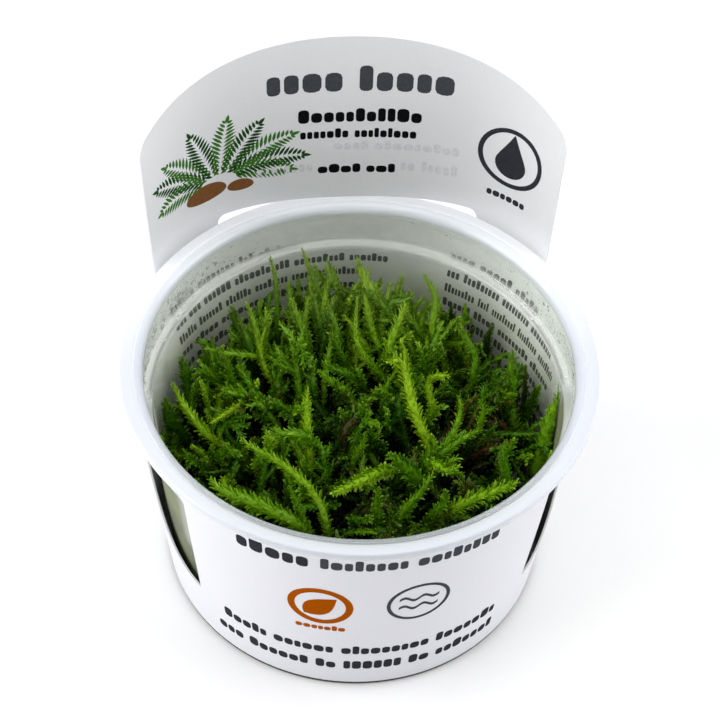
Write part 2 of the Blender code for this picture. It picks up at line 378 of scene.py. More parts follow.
def milkiness(f, zone):
    """The share of the light that doesn't go straight through the plastic."""
    by_height = f.ramp(zone["height"], (0.0, 0.04), (0.17, 0.05), (0.24, 0.30), (0.30, 0.26),
                       (0.36, 0.07), (0.74, 0.07), (0.86, 0.11), (1.0, 0.14))
    milky = f.rise(zone["mist"], 0.14, by_height)
    # The flange is milkier at the back, to carry the painted light of its milky colour there. The
    # window and the foot are made milky to carry their painted colours.
    for share in (f.product(zone["flange"], f.rise(zone["flange_rear"], 0.25, 0.42)),
                  f.product(zone["lip"], f.rise(zone["lip_rear"], 0.42, 0.16)),
                  f.product(zone["window"], 0.84), f.product(zone["foot"], 0.90)):
        milky = f.math("ADD", milky, share)
    return f.math("MINIMUM", milky, 0.92)


# %% Clear plastic finish
def clear_plastic():
    f = Finish("clear styrene")
    place = f.object_place()
    zone = plastic_zones(f, place)
    milky = milkiness(f, zone)

    # Low at the back the clear tint is darker and greener: painted shade, with the green light of
    # the moss.
    clear = f.mix(zone["painted_shade_low_rear"], (0.870, 0.885, 0.830), (0.790, 0.820, 0.705))
    # The inner edge of the lip gets a painted grey-blue shade, for the dark moss seen through it.
    clear = f.mix(zone["painted_shade_inside_lip"], clear, (0.740, 0.790, 0.830))
    # The milky colour is painted lighter towards the back and greyer blue at the front: painted
    # light.
    milky_with_painted_light = f.ramp(zone["painted_light_towards_back"], (0.0, (0.620, 0.640, 0.730)),
                   (0.22, (0.715, 0.735, 0.825)), (0.58, (0.720, 0.745, 0.830)),
                   (1.0, (0.930, 0.945, 0.985)))
    # Where the card leaves the wall open, the wall is painted moss green with a grey edge. This
    # stands in for the moss seen through it, and covers the shade in the gap between card and wall.
    greens = f.ramp(f.noise(130, 3, 0.6, place), (0.36, (0.040, 0.056, 0.006)),
                    (0.64, (0.115, 0.145, 0.026)))
    film = f.mix(zone["window_grey_edge"], greens, (0.330, 0.340, 0.310))
    tint = f.mix(milky, clear, f.mix(zone["window"], milky_with_painted_light, film))
    # The foot's edge is painted near black: a painted shade.
    tint = f.mix(zone["foot"], tint, (0.022, 0.028, 0.012))

    rough = f.rise(milky, 0.24, f.rise(zone["mist"], 0.16, 0.03))
    rough = f.rise(zone["window"], 0.45, rough)
    f.feed(f.shader, {"Base Color": tint, "Roughness": rough, "IOR": 1.5,
                      "Transmission Weight": f.math("SUBTRACT", 1.0, milky)})
    cells = f.add("TexVoronoi", {"Scale": 1500.0, "Vector": place}).outputs["Distance"]
    beads = f.product(f.math("SUBTRACT", 1.0, cells), f.product(zone["mist"], 0.9))
    f.bump(f.rise(f.noise(160, 2, 0.5, place), 0.25, beads), 0.35, 0.00012)
    f.let_lamps_through((0.86, 0.88, 0.83))
    return f.material


# %% [markdown]
# ## The cup
# The real cup is one moulding: a foot with a small bead, a wall that widens upwards, a ledge,
# a short band, a rounded lip and a wide flange with a small skirt. It is round, so a lathe
# shape is right. A hand would draw the half outline point by point, then spin it once round
# the axis.

# %% Helper that draws an outline and spins it
def arc(centre, radius, start, end, steps):
    """Points on an arc of an outline, with the angles in degrees."""
    turns = [math.radians(start + (end - start) * i / steps) for i in range(steps + 1)]
    return [(centre[0] + radius * math.cos(a), centre[1] + radius * math.sin(a)) for a in turns]


def turned(name, outline, steps):
    """Extrudes one point along an outline of (radius, height), and spins it round Z."""
    deselect_all()
    bpy.ops.mesh.primitive_plane_add(size=0.001)
    piece = bpy.context.object
    piece.name = piece.data.name = name
    bpy.ops.object.mode_set(mode="EDIT")
    bpy.ops.mesh.select_all(action="SELECT")
    bpy.ops.mesh.merge(type="CENTER")
    bpy.ops.transform.translate(value=(outline[0][0], 0, outline[0][1]))
    for (r0, z0), (r1, z1) in zip(outline, outline[1:]):
        bpy.ops.mesh.extrude_region_move(
            TRANSFORM_OT_translate={"value": (r1 - r0, 0, z1 - z0)})
    bpy.ops.mesh.select_all(action="SELECT")
    bpy.ops.mesh.spin(steps=steps, angle=math.tau, center=(0, 0, 0), axis=(0, 0, 1))
    finish_edit(2e-6)
    bpy.ops.object.shade_smooth_by_angle(angle=math.radians(38))
    return piece


# %% The cup, with its lip, ledge and foot
CUP_STEPS = 192
CORNER = 0.0005
UNDER_LEDGE = 0.0006
UNDER_LIP = 0.0014
FLOOR_CORNER = 0.0012
FOOT_BEAD = 0.00045
FOOT_HOLLOW = 0.0003
LIP_STEP = 0.00016


def cup_inner_radius(z):
    foot = BASE_R - WALL
    return foot + (LEDGE_IN_R - foot) * z / LEDGE_Z


def cup_outline():
    """From the middle of the foot, up the outside, over the flange and down to the floor."""
    outer_r = LEDGE_IN_R + WALL
    band_r = LEDGE_OUT_R + WALL
    ledge_low_z = LEDGE_Z - WALL
    flange_low_z = CUP_HEIGHT - FLANGE_THICK
    lip_r = MOUTH_R + LIP_ROUND
    skirt_r, skirt_z = FLANGE_R - FLANGE_THICK, CUP_HEIGHT - SKIRT_DEPTH
    floor_r = cup_inner_radius(0.0017) - FLOOR_CORNER
    # the foot, with its shallow hollow and the bead round it
    outline = [(0, FOOT_HOLLOW), (0.0345, FOOT_HOLLOW), (0.0352, 0.0)]
    outline += arc((BASE_R + 0.0004, FOOT_BEAD), FOOT_BEAD, -90, 60, 6)
    # up the wall, and round the outside of the ledge
    outline += [(BASE_R, 0.0012), (outer_r, ledge_low_z - UNDER_LEDGE)]
    outline += arc((outer_r + UNDER_LEDGE, ledge_low_z - UNDER_LEDGE), UNDER_LEDGE, 150, 90, 2)
    outline += arc((band_r - CORNER, ledge_low_z + CORNER), CORNER, -90, -5, 4)
    # up the band, and out under the flange to its skirt
    outline += [(MOUTH_R + 0.0011, flange_low_z - UNDER_LIP)]
    outline += arc((MOUTH_R + 0.0025, flange_low_z - UNDER_LIP), UNDER_LIP, 180, 90, 4)
    outline += [(skirt_r, flange_low_z), (skirt_r, skirt_z), (FLANGE_R, skirt_z)]
    # over the flange, down a fine step and round the lip
    outline += arc((FLANGE_R - CORNER, CUP_HEIGHT - CORNER), CORNER, 0, 90, 5)
    outline += [(lip_r + 0.0006, CUP_HEIGHT), (lip_r + 0.0004, CUP_HEIGHT - LIP_STEP),
                (lip_r + 0.0002, CUP_HEIGHT - LIP_STEP)]
    outline += arc((lip_r, CUP_HEIGHT - LIP_ROUND), LIP_ROUND, 90, 178, 10)
    # down inside the band, over the ledge, and down the wall to the floor
    outline += arc((LEDGE_OUT_R - CORNER, LEDGE_Z + CORNER), CORNER, -5, -90, 4)
    outline += arc((LEDGE_IN_R + CORNER, LEDGE_Z - CORNER), CORNER, 90, 176, 4)
    outline += arc((floor_r, FLOOR + FLOOR_CORNER), FLOOR_CORNER, -5, -90, 5)
    return outline + [(0.020, FLOOR), (0, FLOOR)]


styrene = clear_plastic()
cup = turned("clear_cup", cup_outline(), CUP_STEPS)
place_in_frame(cup, styrene, "clear_plastic", "cup")

# %% [markdown]
# ## The gel
# Under the moss lies a thin layer of clear culture gel, a little milky, which climbs the wall
# by a fraction of a millimetre. It is a turned shape too, with its top pulled into soft
# hollows, because set gel is never quite flat once moss has grown into it. Under the moss it
# is made a dark green brown, and less clear.

# %% The gel and its finish
GEL_GAP = 0.0003
GEL_CLIMB = 0.0002


def culture_gel():
    f = Finish("culture gel")
    place = f.object_place()
    cloud = f.ramp(f.noise(120, 3, 0.5, place), (0.3, (0.80, 0.83, 0.70)),
                   (0.75, (0.93, 0.94, 0.88)))
    # Under the moss the gel is made a near black green brown, rougher and less clear.
    under_moss = f.slope(f.from_axis(place), 0.0375, 0.0345, 0.92)
    f.feed(f.shader, {"Base Color": f.mix(under_moss, cloud, (0.012, 0.018, 0.005)),
                      "Roughness": f.rise(under_moss, 0.5, 0.18), "IOR": 1.34,
                      "Transmission Weight": f.rise(under_moss, -0.8, 0.75)})
    f.bump(f.noise(300, 3, 0.5, place), 0.2, 0.0003)
    f.let_lamps_through((0.90, 0.91, 0.84))
    return f.material


def gel_outline():
    """A hair's breadth inside the cup, and lower in the middle than at the wall."""
    floor = FLOOR + GEL_GAP
    wall = cup_inner_radius(GEL_TOP) - GEL_GAP
    high, low = GEL_TOP + GEL_CLIMB, GEL_TOP - GEL_CLIMB
    outline = [(0, floor), (0.020, floor), (cup_inner_radius(floor) - FLOOR_CORNER, floor)]
    outline += [(cup_inner_radius(0.0025) - GEL_GAP, 0.0025), (wall, high), (wall - 0.0004, high)]
    outline += [(wall - 0.0016, low)]
    outline += [(wall * share, low) for share in (0.9, 0.75, 0.6, 0.45, 0.3, 0.15, 0.0)]
    return outline


gel = turned("gel_layer", gel_outline(), 96)
for vert in gel.data.vertices:
    x, y, z = vert.co
    if z > GEL_TOP - 0.0003 and math.hypot(x, y) < 0.038:
        vert.co.z -= GEL_CLIMB * (1 + math.sin(x * 640 + 1) * math.cos(y * 520))
place_in_frame(gel, culture_gel(), "gel", "culture_gel")

# %% [markdown]
# ## Laying out and wrapping the card
# The real sleeve is die-cut flat, printed flat and then wrapped. The same is done here: the
# card and each print are drawn flat, cut into narrow columns, and bent round the cup by one
# rule. The rule says where a point of the flat card goes, by its angle from the back.

# %% The rule that wraps the card
def smooth_step(low, high, value):
    t = min(max((value - low) / (high - low), 0.0), 1.0)
    return t * t * (3 - 2 * t)


def cone_radius(z):
    return CARD_BASE_R + CARD_SLOPE * z


def back_radius(angle):
    """Level with the flange, the card runs inside its edge at the back and then outside."""
    swell = math.sin(0.5 * math.pi * angle / BULGE_PEAK) ** 2
    inside = 1.0 if abs(angle) < 2 * BULGE_PEAK else 0.0
    return cone_radius(CUP_HEIGHT) - BACK_IN + BULGE * swell * inside


def back_point(angle):
    r = back_radius(angle)
    return Vector((r * math.sin(angle), r * math.cos(angle)))


def back_normal(angle):
    step = 0.001
    along = back_point(angle + step) - back_point(angle - step)
    return Vector((-along.y, along.x)).normalized()


def card_point(angle, z):
    """A point of the card's inner face, from its angle from the back and its height."""
    if z > CUP_HEIGHT:
        at = back_point(angle) + back_normal(angle) * CARD_SLOPE * (z - CUP_HEIGHT)
        return Vector((at.x, at.y, z))
    share = smooth_step(BULGE_FROM_Z, CUP_HEIGHT, z)
    r = cone_radius(z) + (back_radius(angle) - cone_radius(CUP_HEIGHT)) * share
    return Vector((r * math.sin(angle), r * math.cos(angle), z))


def card_place(angle, z, out):
    """A point this far outside the card's inner face, or inside it where out is negative."""
    step = 0.002
    across = card_point(angle + step, z) - card_point(angle - step, z)
    upward = card_point(angle, z + 0.0001) - card_point(angle, z - 0.0001)
    normal = upward.cross(across).normalized()
    at = card_point(angle, z)
    if normal.dot(Vector((at.x, at.y, 0))) < 0:
        normal = -normal
    return at + normal * out


def angle_table():
    """How far along the card each angle from the back is, level with the flange."""
    table = [(0.0, 0.0)]
    steps = 400
    for i in range(steps):
        a, b = (math.radians(90) * k / steps for k in (i, i + 1))
        table.append((table[-1][0] + (back_point(b) - back_point(a)).length, b))
    return table


ALONG, ANGLES = (list(column) for column in zip(*angle_table()))


def angle_at(along):
    """The angle from the back of a point that is this far along the card."""
    return math.copysign(float(np.interp(abs(along), ALONG, ANGLES)), along)


# %% Helpers that cut a flat piece into columns, and wrap it
FLAT = 0.0477
COLUMN = math.radians(3) * FLAT
ROW = 0.003


def cut(piece, axis, places):
    """Cuts a flat piece with the bisect tool at each place along one axis."""
    edit(piece)
    normal = (1, 0, 0) if axis == 0 else (0, 1, 0)
    for place in places:
        bpy.ops.mesh.select_all(action="SELECT")
        bpy.ops.mesh.bisect(plane_co=tuple(place * n for n in normal), plane_no=normal,
                            threshold=1e-6)
    bpy.ops.object.mode_set(mode="OBJECT")


def columns(low, high, step):
    first = math.floor(low / step + 0.001) + 1
    return [i * step for i in range(first, math.ceil(high / step - 0.001))]


def keep_flat_map(piece, scale=10):
    """Stores the flat layout, ten to the metre, as the piece's UV map before it is wrapped."""
    layer = piece.data.uv_layers.new(name="flat")
    for loop in piece.data.loops:
        co = piece.data.vertices[loop.vertex_index].co
        layer.data[loop.index].uv = (co.x * scale, co.y * scale)


def bend_cuts(piece):
    """Cuts a flat piece where the card has its columns and rows, so that both bend alike."""
    xs = [v.co.x for v in piece.data.vertices]
    ys = [v.co.y for v in piece.data.vertices]
    cut(piece, 0, columns(min(xs), max(xs), COLUMN))
    cut(piece, 1, columns(min(ys), max(ys), ROW))


def wrap(piece, out):
    """Moves each vertex of a flat piece to its place on the card."""
    for vert in piece.data.vertices:
        vert.co = card_place(vert.co.x / FLAT, vert.co.y, out)


# %% [markdown]
# ## The outlines of the card
# The outline follows the photograph: a level top edge at the front, tall straight sides where
# the header starts, rounded shoulders and a low arch on top. There are three holes: a long
# slot that the flange goes through, and a sail-shaped window on each side.

# %% Outlines of the card, its slot and its windows
HEADER_TOP_Z = 0.1023
HEADER_ARC_R = 0.097
HEADER_HALF_FOOT = 0.0497
HEADER_HALF_TOP = 0.0477
HEADER_SIDE_Z = 0.0862
HEADER_CORNER_Z = 0.0903
HEADER_ARC_HALF = 0.0443
SLOT_HALF = 0.0296
SLOT_LOW_Z = 0.0556
SLOT_HIGH_Z = 0.0599
WINDOW_FRONT = math.radians(52.5)
WINDOW_BACK = math.radians(82)
WINDOW_TIP_Z = 0.0170
WINDOW_SIDE_Z = 0.0494
WINDOW_TOP_Z = 0.0530
WINDOW_SHOULDER = 0.0060


def arc_height(s):
    return HEADER_TOP_Z - HEADER_ARC_R + math.sqrt(HEADER_ARC_R ** 2 - s * s)


def drawn_towards(a, b, c, t):
    """A place at t on the curve from a to c that is drawn towards b."""
    return (1 - t) ** 2 * a + 2 * t * (1 - t) * b + t * t * c


def header_half():
    """The right half of the header's outline, from its foot to the middle of its top."""
    points = [(HEADER_HALF_FOOT + (HEADER_HALF_TOP - HEADER_HALF_FOOT) * i / 8,
               CARD_TOP_Z + (HEADER_SIDE_Z - CARD_TOP_Z) * i / 8) for i in range(9)]
    end_z = arc_height(HEADER_ARC_HALF)
    points += [(drawn_towards(HEADER_HALF_TOP, HEADER_HALF_TOP, HEADER_ARC_HALF, i / 10),
                drawn_towards(HEADER_SIDE_Z, HEADER_CORNER_Z, end_z, i / 10))
               for i in range(1, 11)]
    return points + [(s, arc_height(s)) for s in (HEADER_ARC_HALF * (1 - i / 24)
                                                  for i in range(1, 25))]


def sleeve_outline():
    right = [(angle_at(s) * FLAT, z) for s, z in header_half()]
    left = [(-x, z) for x, z in reversed(right[:-1])]
    end = math.pi * FLAT
    return ([(-end, CARD_FOOT_Z), (end, CARD_FOOT_Z), (end, CARD_TOP_Z)]
            + right + left + [(-end, CARD_TOP_Z)])


def slot_outline():
    mid = 0.5 * (SLOT_LOW_Z + SLOT_HIGH_Z)
    r = 0.5 * (SLOT_HIGH_Z - SLOT_LOW_Z)
    straight = SLOT_HALF - r
    flat = [(straight + r * math.cos(a), mid + r * math.sin(a))
            for a in (math.pi * (i / 12 - 0.5) for i in range(13))]
    flat += [(-x, z) for x, z in reversed(flat)]
    return [(angle_at(s) * FLAT, z) for s, z in flat]


def window_outline(side):
    """Up the front edge, over the top to the back, and down in a curve to the tip."""
    span = WINDOW_BACK - WINDOW_FRONT
    found = [(WINDOW_FRONT, WINDOW_TIP_Z), (WINDOW_FRONT, WINDOW_SIDE_Z)]
    found += [(WINDOW_FRONT + share * span, WINDOW_TOP_Z - drop) for share, drop in
              ((0.05, 0.0018), (0.13, 0.0009), (0.27, 0.0003), (0.45, 0.0), (0.70, 0.0),
               (0.86, 0.0002), (0.96, 0.0010), (1.0, 0.0028))]
    reach = WINDOW_TOP_Z - WINDOW_SHOULDER - WINDOW_TIP_Z
    for i in range(18):
        a = math.radians(90) * (1 - i / 18)
        found.append((WINDOW_FRONT + span * math.sin(a) ** 0.9,
                      WINDOW_TIP_Z + reach * (1 - math.cos(a))))
    return [(side * (math.pi - a) * FLAT, z) for a, z in found]


# %% [markdown]
# ## The card sleeve
# A flat curve with holes fills itself, like a sheet that is cut with a die. It is turned into
# a mesh, cut into columns and rows so that it can bend, wrapped, joined at its two ends, and
# given the card's thickness of 0.4 mm on the outside.

# %% The sleeve, cut flat and wrapped
def flat_sheet(name, outlines):
    """A filled flat curve, made a mesh. An outline that lies in another one is a hole."""
    curve = bpy.data.curves.new(name, "CURVE")
    curve.dimensions = "2D"
    curve.fill_mode = "BOTH"
    for outline in outlines:
        spline = curve.splines.new("POLY")
        spline.points.add(len(outline) - 1)
        for point, (x, y) in zip(spline.points, outline):
            point.co = (x, y, 0, 1)
        spline.use_cyclic_u = True
    pick(add_to_scene(name, curve))
    bpy.ops.object.convert(target="MESH")
    piece = bpy.context.object
    edit(piece)
    finish_edit()
    return piece


def make_sleeve():
    piece = flat_sheet("card_sleeve", [sleeve_outline(), slot_outline(), window_outline(1),
                                       window_outline(-1)])
    bend_cuts(piece)
    keep_flat_map(piece)
    wrap(piece, 0.0)
    edit(piece)
    finish_edit(5e-6)
    outward = sum(p.normal.dot(Vector((p.center.x, p.center.y, 0))) * p.area
                  for p in piece.data.polygons)
    if outward < 0:
        piece.data.flip_normals()
    wall = piece.modifiers.new("card thickness", "SOLIDIFY")
    wall.thickness = CARD
    wall.offset = 1.0
    apply_modifiers(piece)
    bpy.ops.object.shade_smooth_by_angle(angle=math.radians(40))
    return piece


# %% [markdown]
# ## Card finish
# Packaging card is white with a faint violet cast from its brighteners. It is satin on its
# printed face, with a fine fibre grain that only shows when the light rakes over it. Round the
# cup its colour is painted a little greyer than in the header, a painted shade, because the
# header stands free in the light.

# %% Card finish
def printed_card():
    f = Finish("white card")
    place = f.object_place()
    tone = f.ramp(f.noise(35, 3, 0.5, place), (0.3, (0.860, 0.862, 0.885)),
                  (0.7, (0.890, 0.890, 0.912)))
    # Below the header the colour is mixed towards grey: painted shade round the cup.
    header = f.slope(f.split(place)["Z"], 0.0550, 0.0620)
    tone = f.mix(header, f.mix(0.60, tone, (0.725, 0.725, 0.780)), tone)
    fibre = f.noise(2600, 3, 0.7, place)
    speckle = f.ramp(fibre, (0.35, 0.97), (0.6, 1.0))
    f.feed(f.shader, {"Base Color": f.mix(1.0, tone, speckle, "MULTIPLY"),
                      "Roughness": f.ramp(fibre, (0.3, 0.38), (0.7, 0.52)),
                      "Specular IOR Level": 0.35})
    f.bump(fibre, 0.12, 0.00005)
    return f.material


sleeve = make_sleeve()
place_in_frame(sleeve, printed_card(), "printed_card", "sleeve")

# %% [markdown]
# ## Print
# Ink lies on the card as a film, far too thin to model at its true depth, so each print is a
# thin sheet that is laid out flat and wrapped like the card. It stands 0.03 mm out of the card
# and is sunk as deep into it. The printing is plain: rows of rounded blocks, large and small,
# with a few round marks and a spray of leaves.

# %% Helpers for drawing print flat, in millimetres
FILM = 0.00003  # in metres, how far a print stands out of the card
MM = 0.001  # a millimetre in metres
RING_STEPS = 40
WAVE_STEPS = 24


def bar(x0, x1, y0, y1):
    """A block with rounded corners."""
    r = 0.35 * min(x1 - x0, y1 - y0)
    found = []
    for cx, cy, start in ((x1 - r, y0 + r, -90), (x1 - r, y1 - r, 0), (x0 + r, y1 - r, 90),
                          (x0 + r, y0 + r, 180)):
        found += [(cx + r * math.cos(math.radians(a)), cy + r * math.sin(math.radians(a)))
                  for a in (start, start + 45, start + 90)]
    return found


def ring(cx, cy, radius, width):
    """A ring as a row of four-cornered faces."""
    inner = radius - width
    turns = [math.radians(360 * k / RING_STEPS) for k in range(RING_STEPS + 1)]
    return [[(cx + r * math.cos(turn), cy + r * math.sin(turn))
             for r, turn in ((inner, a), (radius, a), (radius, b), (inner, b))]
            for a, b in zip(turns, turns[1:])]


def wave(x0, x1, y, height, width):
    """A wavy line as a row of four-cornered faces."""
    found = []
    for i in range(WAVE_STEPS):
        corners = []
        for k, side in ((i, -1), (i + 1, -1), (i + 1, 1), (i, 1)):
            x = x0 + (x1 - x0) * k / WAVE_STEPS
            rise = height * math.sin(4 * math.pi * k / WAVE_STEPS)
            corners.append((x, y + rise + side * width / 2))
        found.append(corners)
    return found


def block_row(x0, x1, y0, y1, counts, seed):
    """A row of plain rounded blocks in groups. The counts say how many a group has."""
    rng = np.random.default_rng(seed)
    height = y1 - y0
    gap, group_gap = 0.12 * height, 0.55 * height
    widths = [rng.uniform(0.62, 1.0, count) for count in counts]
    total = sum(w.sum() for w in widths)
    spaces = gap * (sum(counts) - len(counts)) + group_gap * (len(counts) - 1)
    stretch = (x1 - x0 - spaces) / total
    found = []
    x = x0
    for group in widths:
        for width in group:
            tall = rng.choice((0.74, 0.74, 0.74, 1.0))
            found.append(bar(x, x + width * stretch, y0, y0 + height * tall))
            x += width * stretch + gap
        x += group_gap - gap
    return found


def print_film(name, shapes, place, outside, material):
    """Lays shapes on the flat card, and bends them with it."""
    points, faces = [], []
    for shape in shapes:
        faces.append(list(range(len(points), len(points) + len(shape))))
        points += [(place(x * MM), y * MM, 0) for x, y in shape]
    piece = piece_from(name, points, faces)
    edit(piece)
    bpy.ops.mesh.remove_doubles(threshold=1e-7)
    bpy.ops.object.mode_set(mode="OBJECT")
    bend_cuts(piece)
    keep_flat_map(piece)
    wrap(piece, CARD if outside else 0.0)
    wall = piece.modifiers.new("film", "SOLIDIFY")
    wall.thickness = 2 * FILM
    wall.offset = 0.0
    apply_modifiers(piece)
    edit(piece)
    finish_edit(merge=0)
    place_in_frame(piece, material, "printed_card")


# %% Where a length across a print lies along the flat card
def on_header(along):
    return angle_at(along) * FLAT


def on_back(along):
    return along


def on_front(along):
    """The front is the far end of the flat card, seen from its other side."""
    return math.pi * FLAT - along


def round_card(degrees):
    """Millimetres along the flat card for an angle from the middle of its front or back."""
    return math.radians(degrees) * FLAT / MM


# %% [markdown]
# ## Inks
# Offset ink is never one flat tone. It is a little thinner where the fibres stand up, so each
# ink here is its own colour with a fine mottle, and duller than the card's smooth face.

# %% Ink finishes
def ink(name, colour):
    f = Finish(name)
    thin = tuple(min(1.0, c * 1.25 + 0.001) for c in colour)
    tone = f.ramp(f.noise(1500, 3, 0.6), (0.35, colour), (0.75, thin))
    f.feed(f.shader, {"Base Color": tone, "Roughness": 0.60, "Specular IOR Level": 0.0})
    f.bump(f.noise(2600, 3, 0.7), 0.12, 0.00005)
    return f.material


black_ink = ink("black ink", (0.006, 0.006, 0.007))
grey_ink = ink("dark grey ink", (0.031, 0.033, 0.040))
mid_grey_ink = ink("mid grey ink", (0.058, 0.062, 0.071))
# A pale grey for the painted shadows of the outer print, which show through the card.
show_through_shadow = ink("pale grey ink", (0.690, 0.692, 0.715))
orange_ink = ink("orange ink", (0.355, 0.074, 0.001))
leaf_ink = ink("leaf green ink", (0.055, 0.175, 0.026))
dark_leaf_ink = ink("deep green ink", (0.016, 0.070, 0.012))
stone_ink = ink("brown ink", (0.200, 0.085, 0.030))

# %% Print on the header's inner face
print_film("header_bold_row", block_row(-17.0, 21.6, 88.4, 94.9, (4, 5), 3), on_header, False,
           mid_grey_ink)
print_film("header_small_rows",
           block_row(-10.6, 15.5, 80.4, 83.9, (11,), 5)
           + block_row(-10.2, 14.6, 76.2, 78.7, (7, 9), 6)
           + block_row(-6.4, 10.5, 66.7, 69.1, (4, 3), 7), on_header, False, black_ink)

# The outer face has two rows of its own, which show through the card as pale shadows, painted on
# the inner face as pale grey rows.
OUTER_ROWS = ((-3.0, 24.0, 72.9, 75.3, (4, 9), 16), (-20.0, -7.6, 67.4, 70.3, (3, 4), 17),
              (11.7, 24.0, 67.4, 70.3, (2, 5), 18))
outer_rows = [shape for row in OUTER_ROWS for shape in block_row(*row)]
print_film("header_outer_rows", outer_rows, on_header, True, grey_ink)
print_film("header_show_through_shadows", outer_rows, on_header, False, show_through_shadow)


def drop_shape(cx, cy, size):
    """A water drop: a round foot drawn up to a point."""
    found = []
    for i in range(24):
        a = math.radians(-90 + 360 * i / 24)
        pull = max(0.0, math.sin(a)) ** 3
        found.append((cx + size * 0.62 * math.cos(a) * (1 - 0.75 * pull),
                      cy + size * (0.62 * math.sin(a) + 0.75 * pull)))
    return found


print_film("header_mark",
           ring(35.4, 77.0, 7.6, 1.1) + [drop_shape(35.4, 75.4, 5.8)]
           + block_row(31.0, 40.4, 65.6, 67.6, (6,), 8), on_header, False, grey_ink)

# %% [markdown]
# ## The spray of leaves on the header
# On its left the header has a plain spray of fern leaves behind two round stones. Each leaf is
# a row of small pointed leaflets, left and right of a bent line, in two greens.

# %% The spray of leaves and the stones
def leaflet(x, y, angle, length, width, steps=3):
    """A pointed leaf from its foot at x and y, widest a little below its middle."""
    dx, dy = math.cos(angle), math.sin(angle)
    found = []
    for side in (-0.5, 0.5):
        for i in range(steps):
            along = i / steps if side < 0 else 1 - i / steps
            out = side * width * math.sin(math.pi * along ** 0.8)
            found.append((x + dx * along * length - dy * out, y + dy * along * length + dx * out))
    return found


def fern_leaf(x, y, angle, length, bend):
    """Leaflets left and right of a bent line, which get shorter towards its tip."""
    found = []
    count = int(length / 0.95)
    for i in range(1, count):
        t = i / count
        at = angle + bend * t
        x += math.cos(at) * length / count
        y += math.sin(at) * length / count
        size = 3.1 * math.sin(math.pi * (0.16 + 0.80 * t)) + 0.4
        for side in (-1, 1):
            found.append(leaflet(x + side * -math.sin(at) * 0.12, y + side * math.cos(at) * 0.12,
                                 at + side * 0.95, size, 0.72))
    found.append(leaflet(x, y, angle + bend, 2.2, 0.9))
    return found


FERN_LEAVES = (
    # degrees from the right, length in millimetres, bend in radians
    (168, 13, 0.45), (148, 15, 0.25), (128, 15, 0.30), (106, 15, 0.10), (84, 15, -0.15),
    (62, 15, -0.25), (40, 17, -0.40), (20, 17, -0.45), (4, 14, -0.35),
)
front_leaves, rear_leaves = [], []
for index, (degrees, length, bend) in enumerate(FERN_LEAVES):
    turn = math.radians(degrees)
    leaf = fern_leaf(-28.5 + 3.0 * math.cos(turn), 70.2, turn, length, bend)
    (rear_leaves if index % 2 else front_leaves).extend(leaf)


def stone(cx, cy, half_wide, half_high, lean):
    return [(cx + half_wide * math.cos(a) + lean * math.sin(a),
             cy + half_high * math.sin(a) * (0.8 if math.sin(a) < 0 else 1.0))
            for a in (math.tau * i / 28 for i in range(28))]


print_film("header_leaves_front", front_leaves, on_header, False, leaf_ink)
print_film("header_leaves_rear", rear_leaves, on_header, False, dark_leaf_ink)
print_film("header_stones", [stone(-31.8, 67.3, 5.0, 2.5, 0.5), stone(-23.6, 66.6, 3.0, 1.7, -0.3)],
           on_header, False, stone_ink)

# %% [markdown]
# ## Print on the front of the sleeve
# The front carries one large row under the rim, two round marks, and two rows at the foot.
# Places are given as degrees round from the middle of the front, and heights in millimetres.

# %% Front print
def front_row(left, right, *rest):
    return block_row(round_card(left), round_card(right), *rest)


print_film("front_bold_row", front_row(-34.8, -16, 49.4, 54.3, (5,), 11), on_front, True,
           grey_ink)
print_film("front_light_row", front_row(-13, 32.8, 49.8, 53.7, (8, 8), 12), on_front, True,
           mid_grey_ink)
print_film("front_foot_rows", front_row(-43, 40, 14.4, 17.9, (5, 6, 9, 7), 13)
           + front_row(-46, 40.6, 7.6, 11.1, (3, 6, 2, 6, 2, 7), 14), on_front, True, grey_ink)


badge_x = round_card(-13.1)
print_film("front_badge",
           ring(badge_x, 34.3, 7.2, 1.6)
           + [leaflet(badge_x - 3.6, 30.7, math.radians(45), 10.2, 6.0, 12)]
           + block_row(badge_x - 5.6, badge_x + 5.6, 24.4, 26.4, (7,), 15),
           on_front, True, orange_ink)
mark_x = round_card(12.6)
waves = [face for y in (33.3, 36.7) for face in wave(mark_x - 4.4, mark_x + 4.4, y, 0.7, 0.95)]
print_film("front_mark", ring(mark_x, 35.0, 7.1, 0.85) + waves, on_front, True, mid_grey_ink)

# %% [markdown]
# ## Print inside, behind the clear wall
# On its inner face, low down at the back, the card is printed with two panels of small grey
# rows, which show through the clear wall of the cup.

# %% Rows inside the sleeve
ROWS_TOP = 45.6
ROWS_APART = 4.1
ROWS_COUNT = 8
GROUP_WIDTH = 9.5


def back_rows(low_degrees, high_degrees, seed):
    """A panel of small rows, given by its angles from the back. Its top row is a short one."""
    rng = np.random.default_rng(seed)
    left, right = round_card(low_degrees), round_card(high_degrees)
    found = []
    for row in range(ROWS_COUNT):
        end = left + (right - left) * (rng.uniform(0.84, 1.0) if row else 0.62)
        counts = rng.integers(3, 10, int((end - left) / GROUP_WIDTH) + 1)
        y = ROWS_TOP - ROWS_APART * row
        found += block_row(left, end, y, y + (2.3 if row else 2.6),
                           [int(n) for n in counts], seed + row)
    return found


print_film("inner_rows_left", back_rows(-57, 13, 40), on_back, False, grey_ink)
print_film("inner_rows_right", back_rows(30, 80, 60), on_back, False, grey_ink)

# %% [markdown]
# ## Moss: one leaf
# Weeping moss grows as tapering shoots that are covered all round by pointed, cupped leaves,
# each 1 to 2 mm long. There are tens of thousands of them, so a leaf has only eight faces. A
# hexagon is pulled out to a leaf's outline and its sides are bent down, once. The upper faces
# meet in a ridge and the lower ones run straight across, like a small boat.

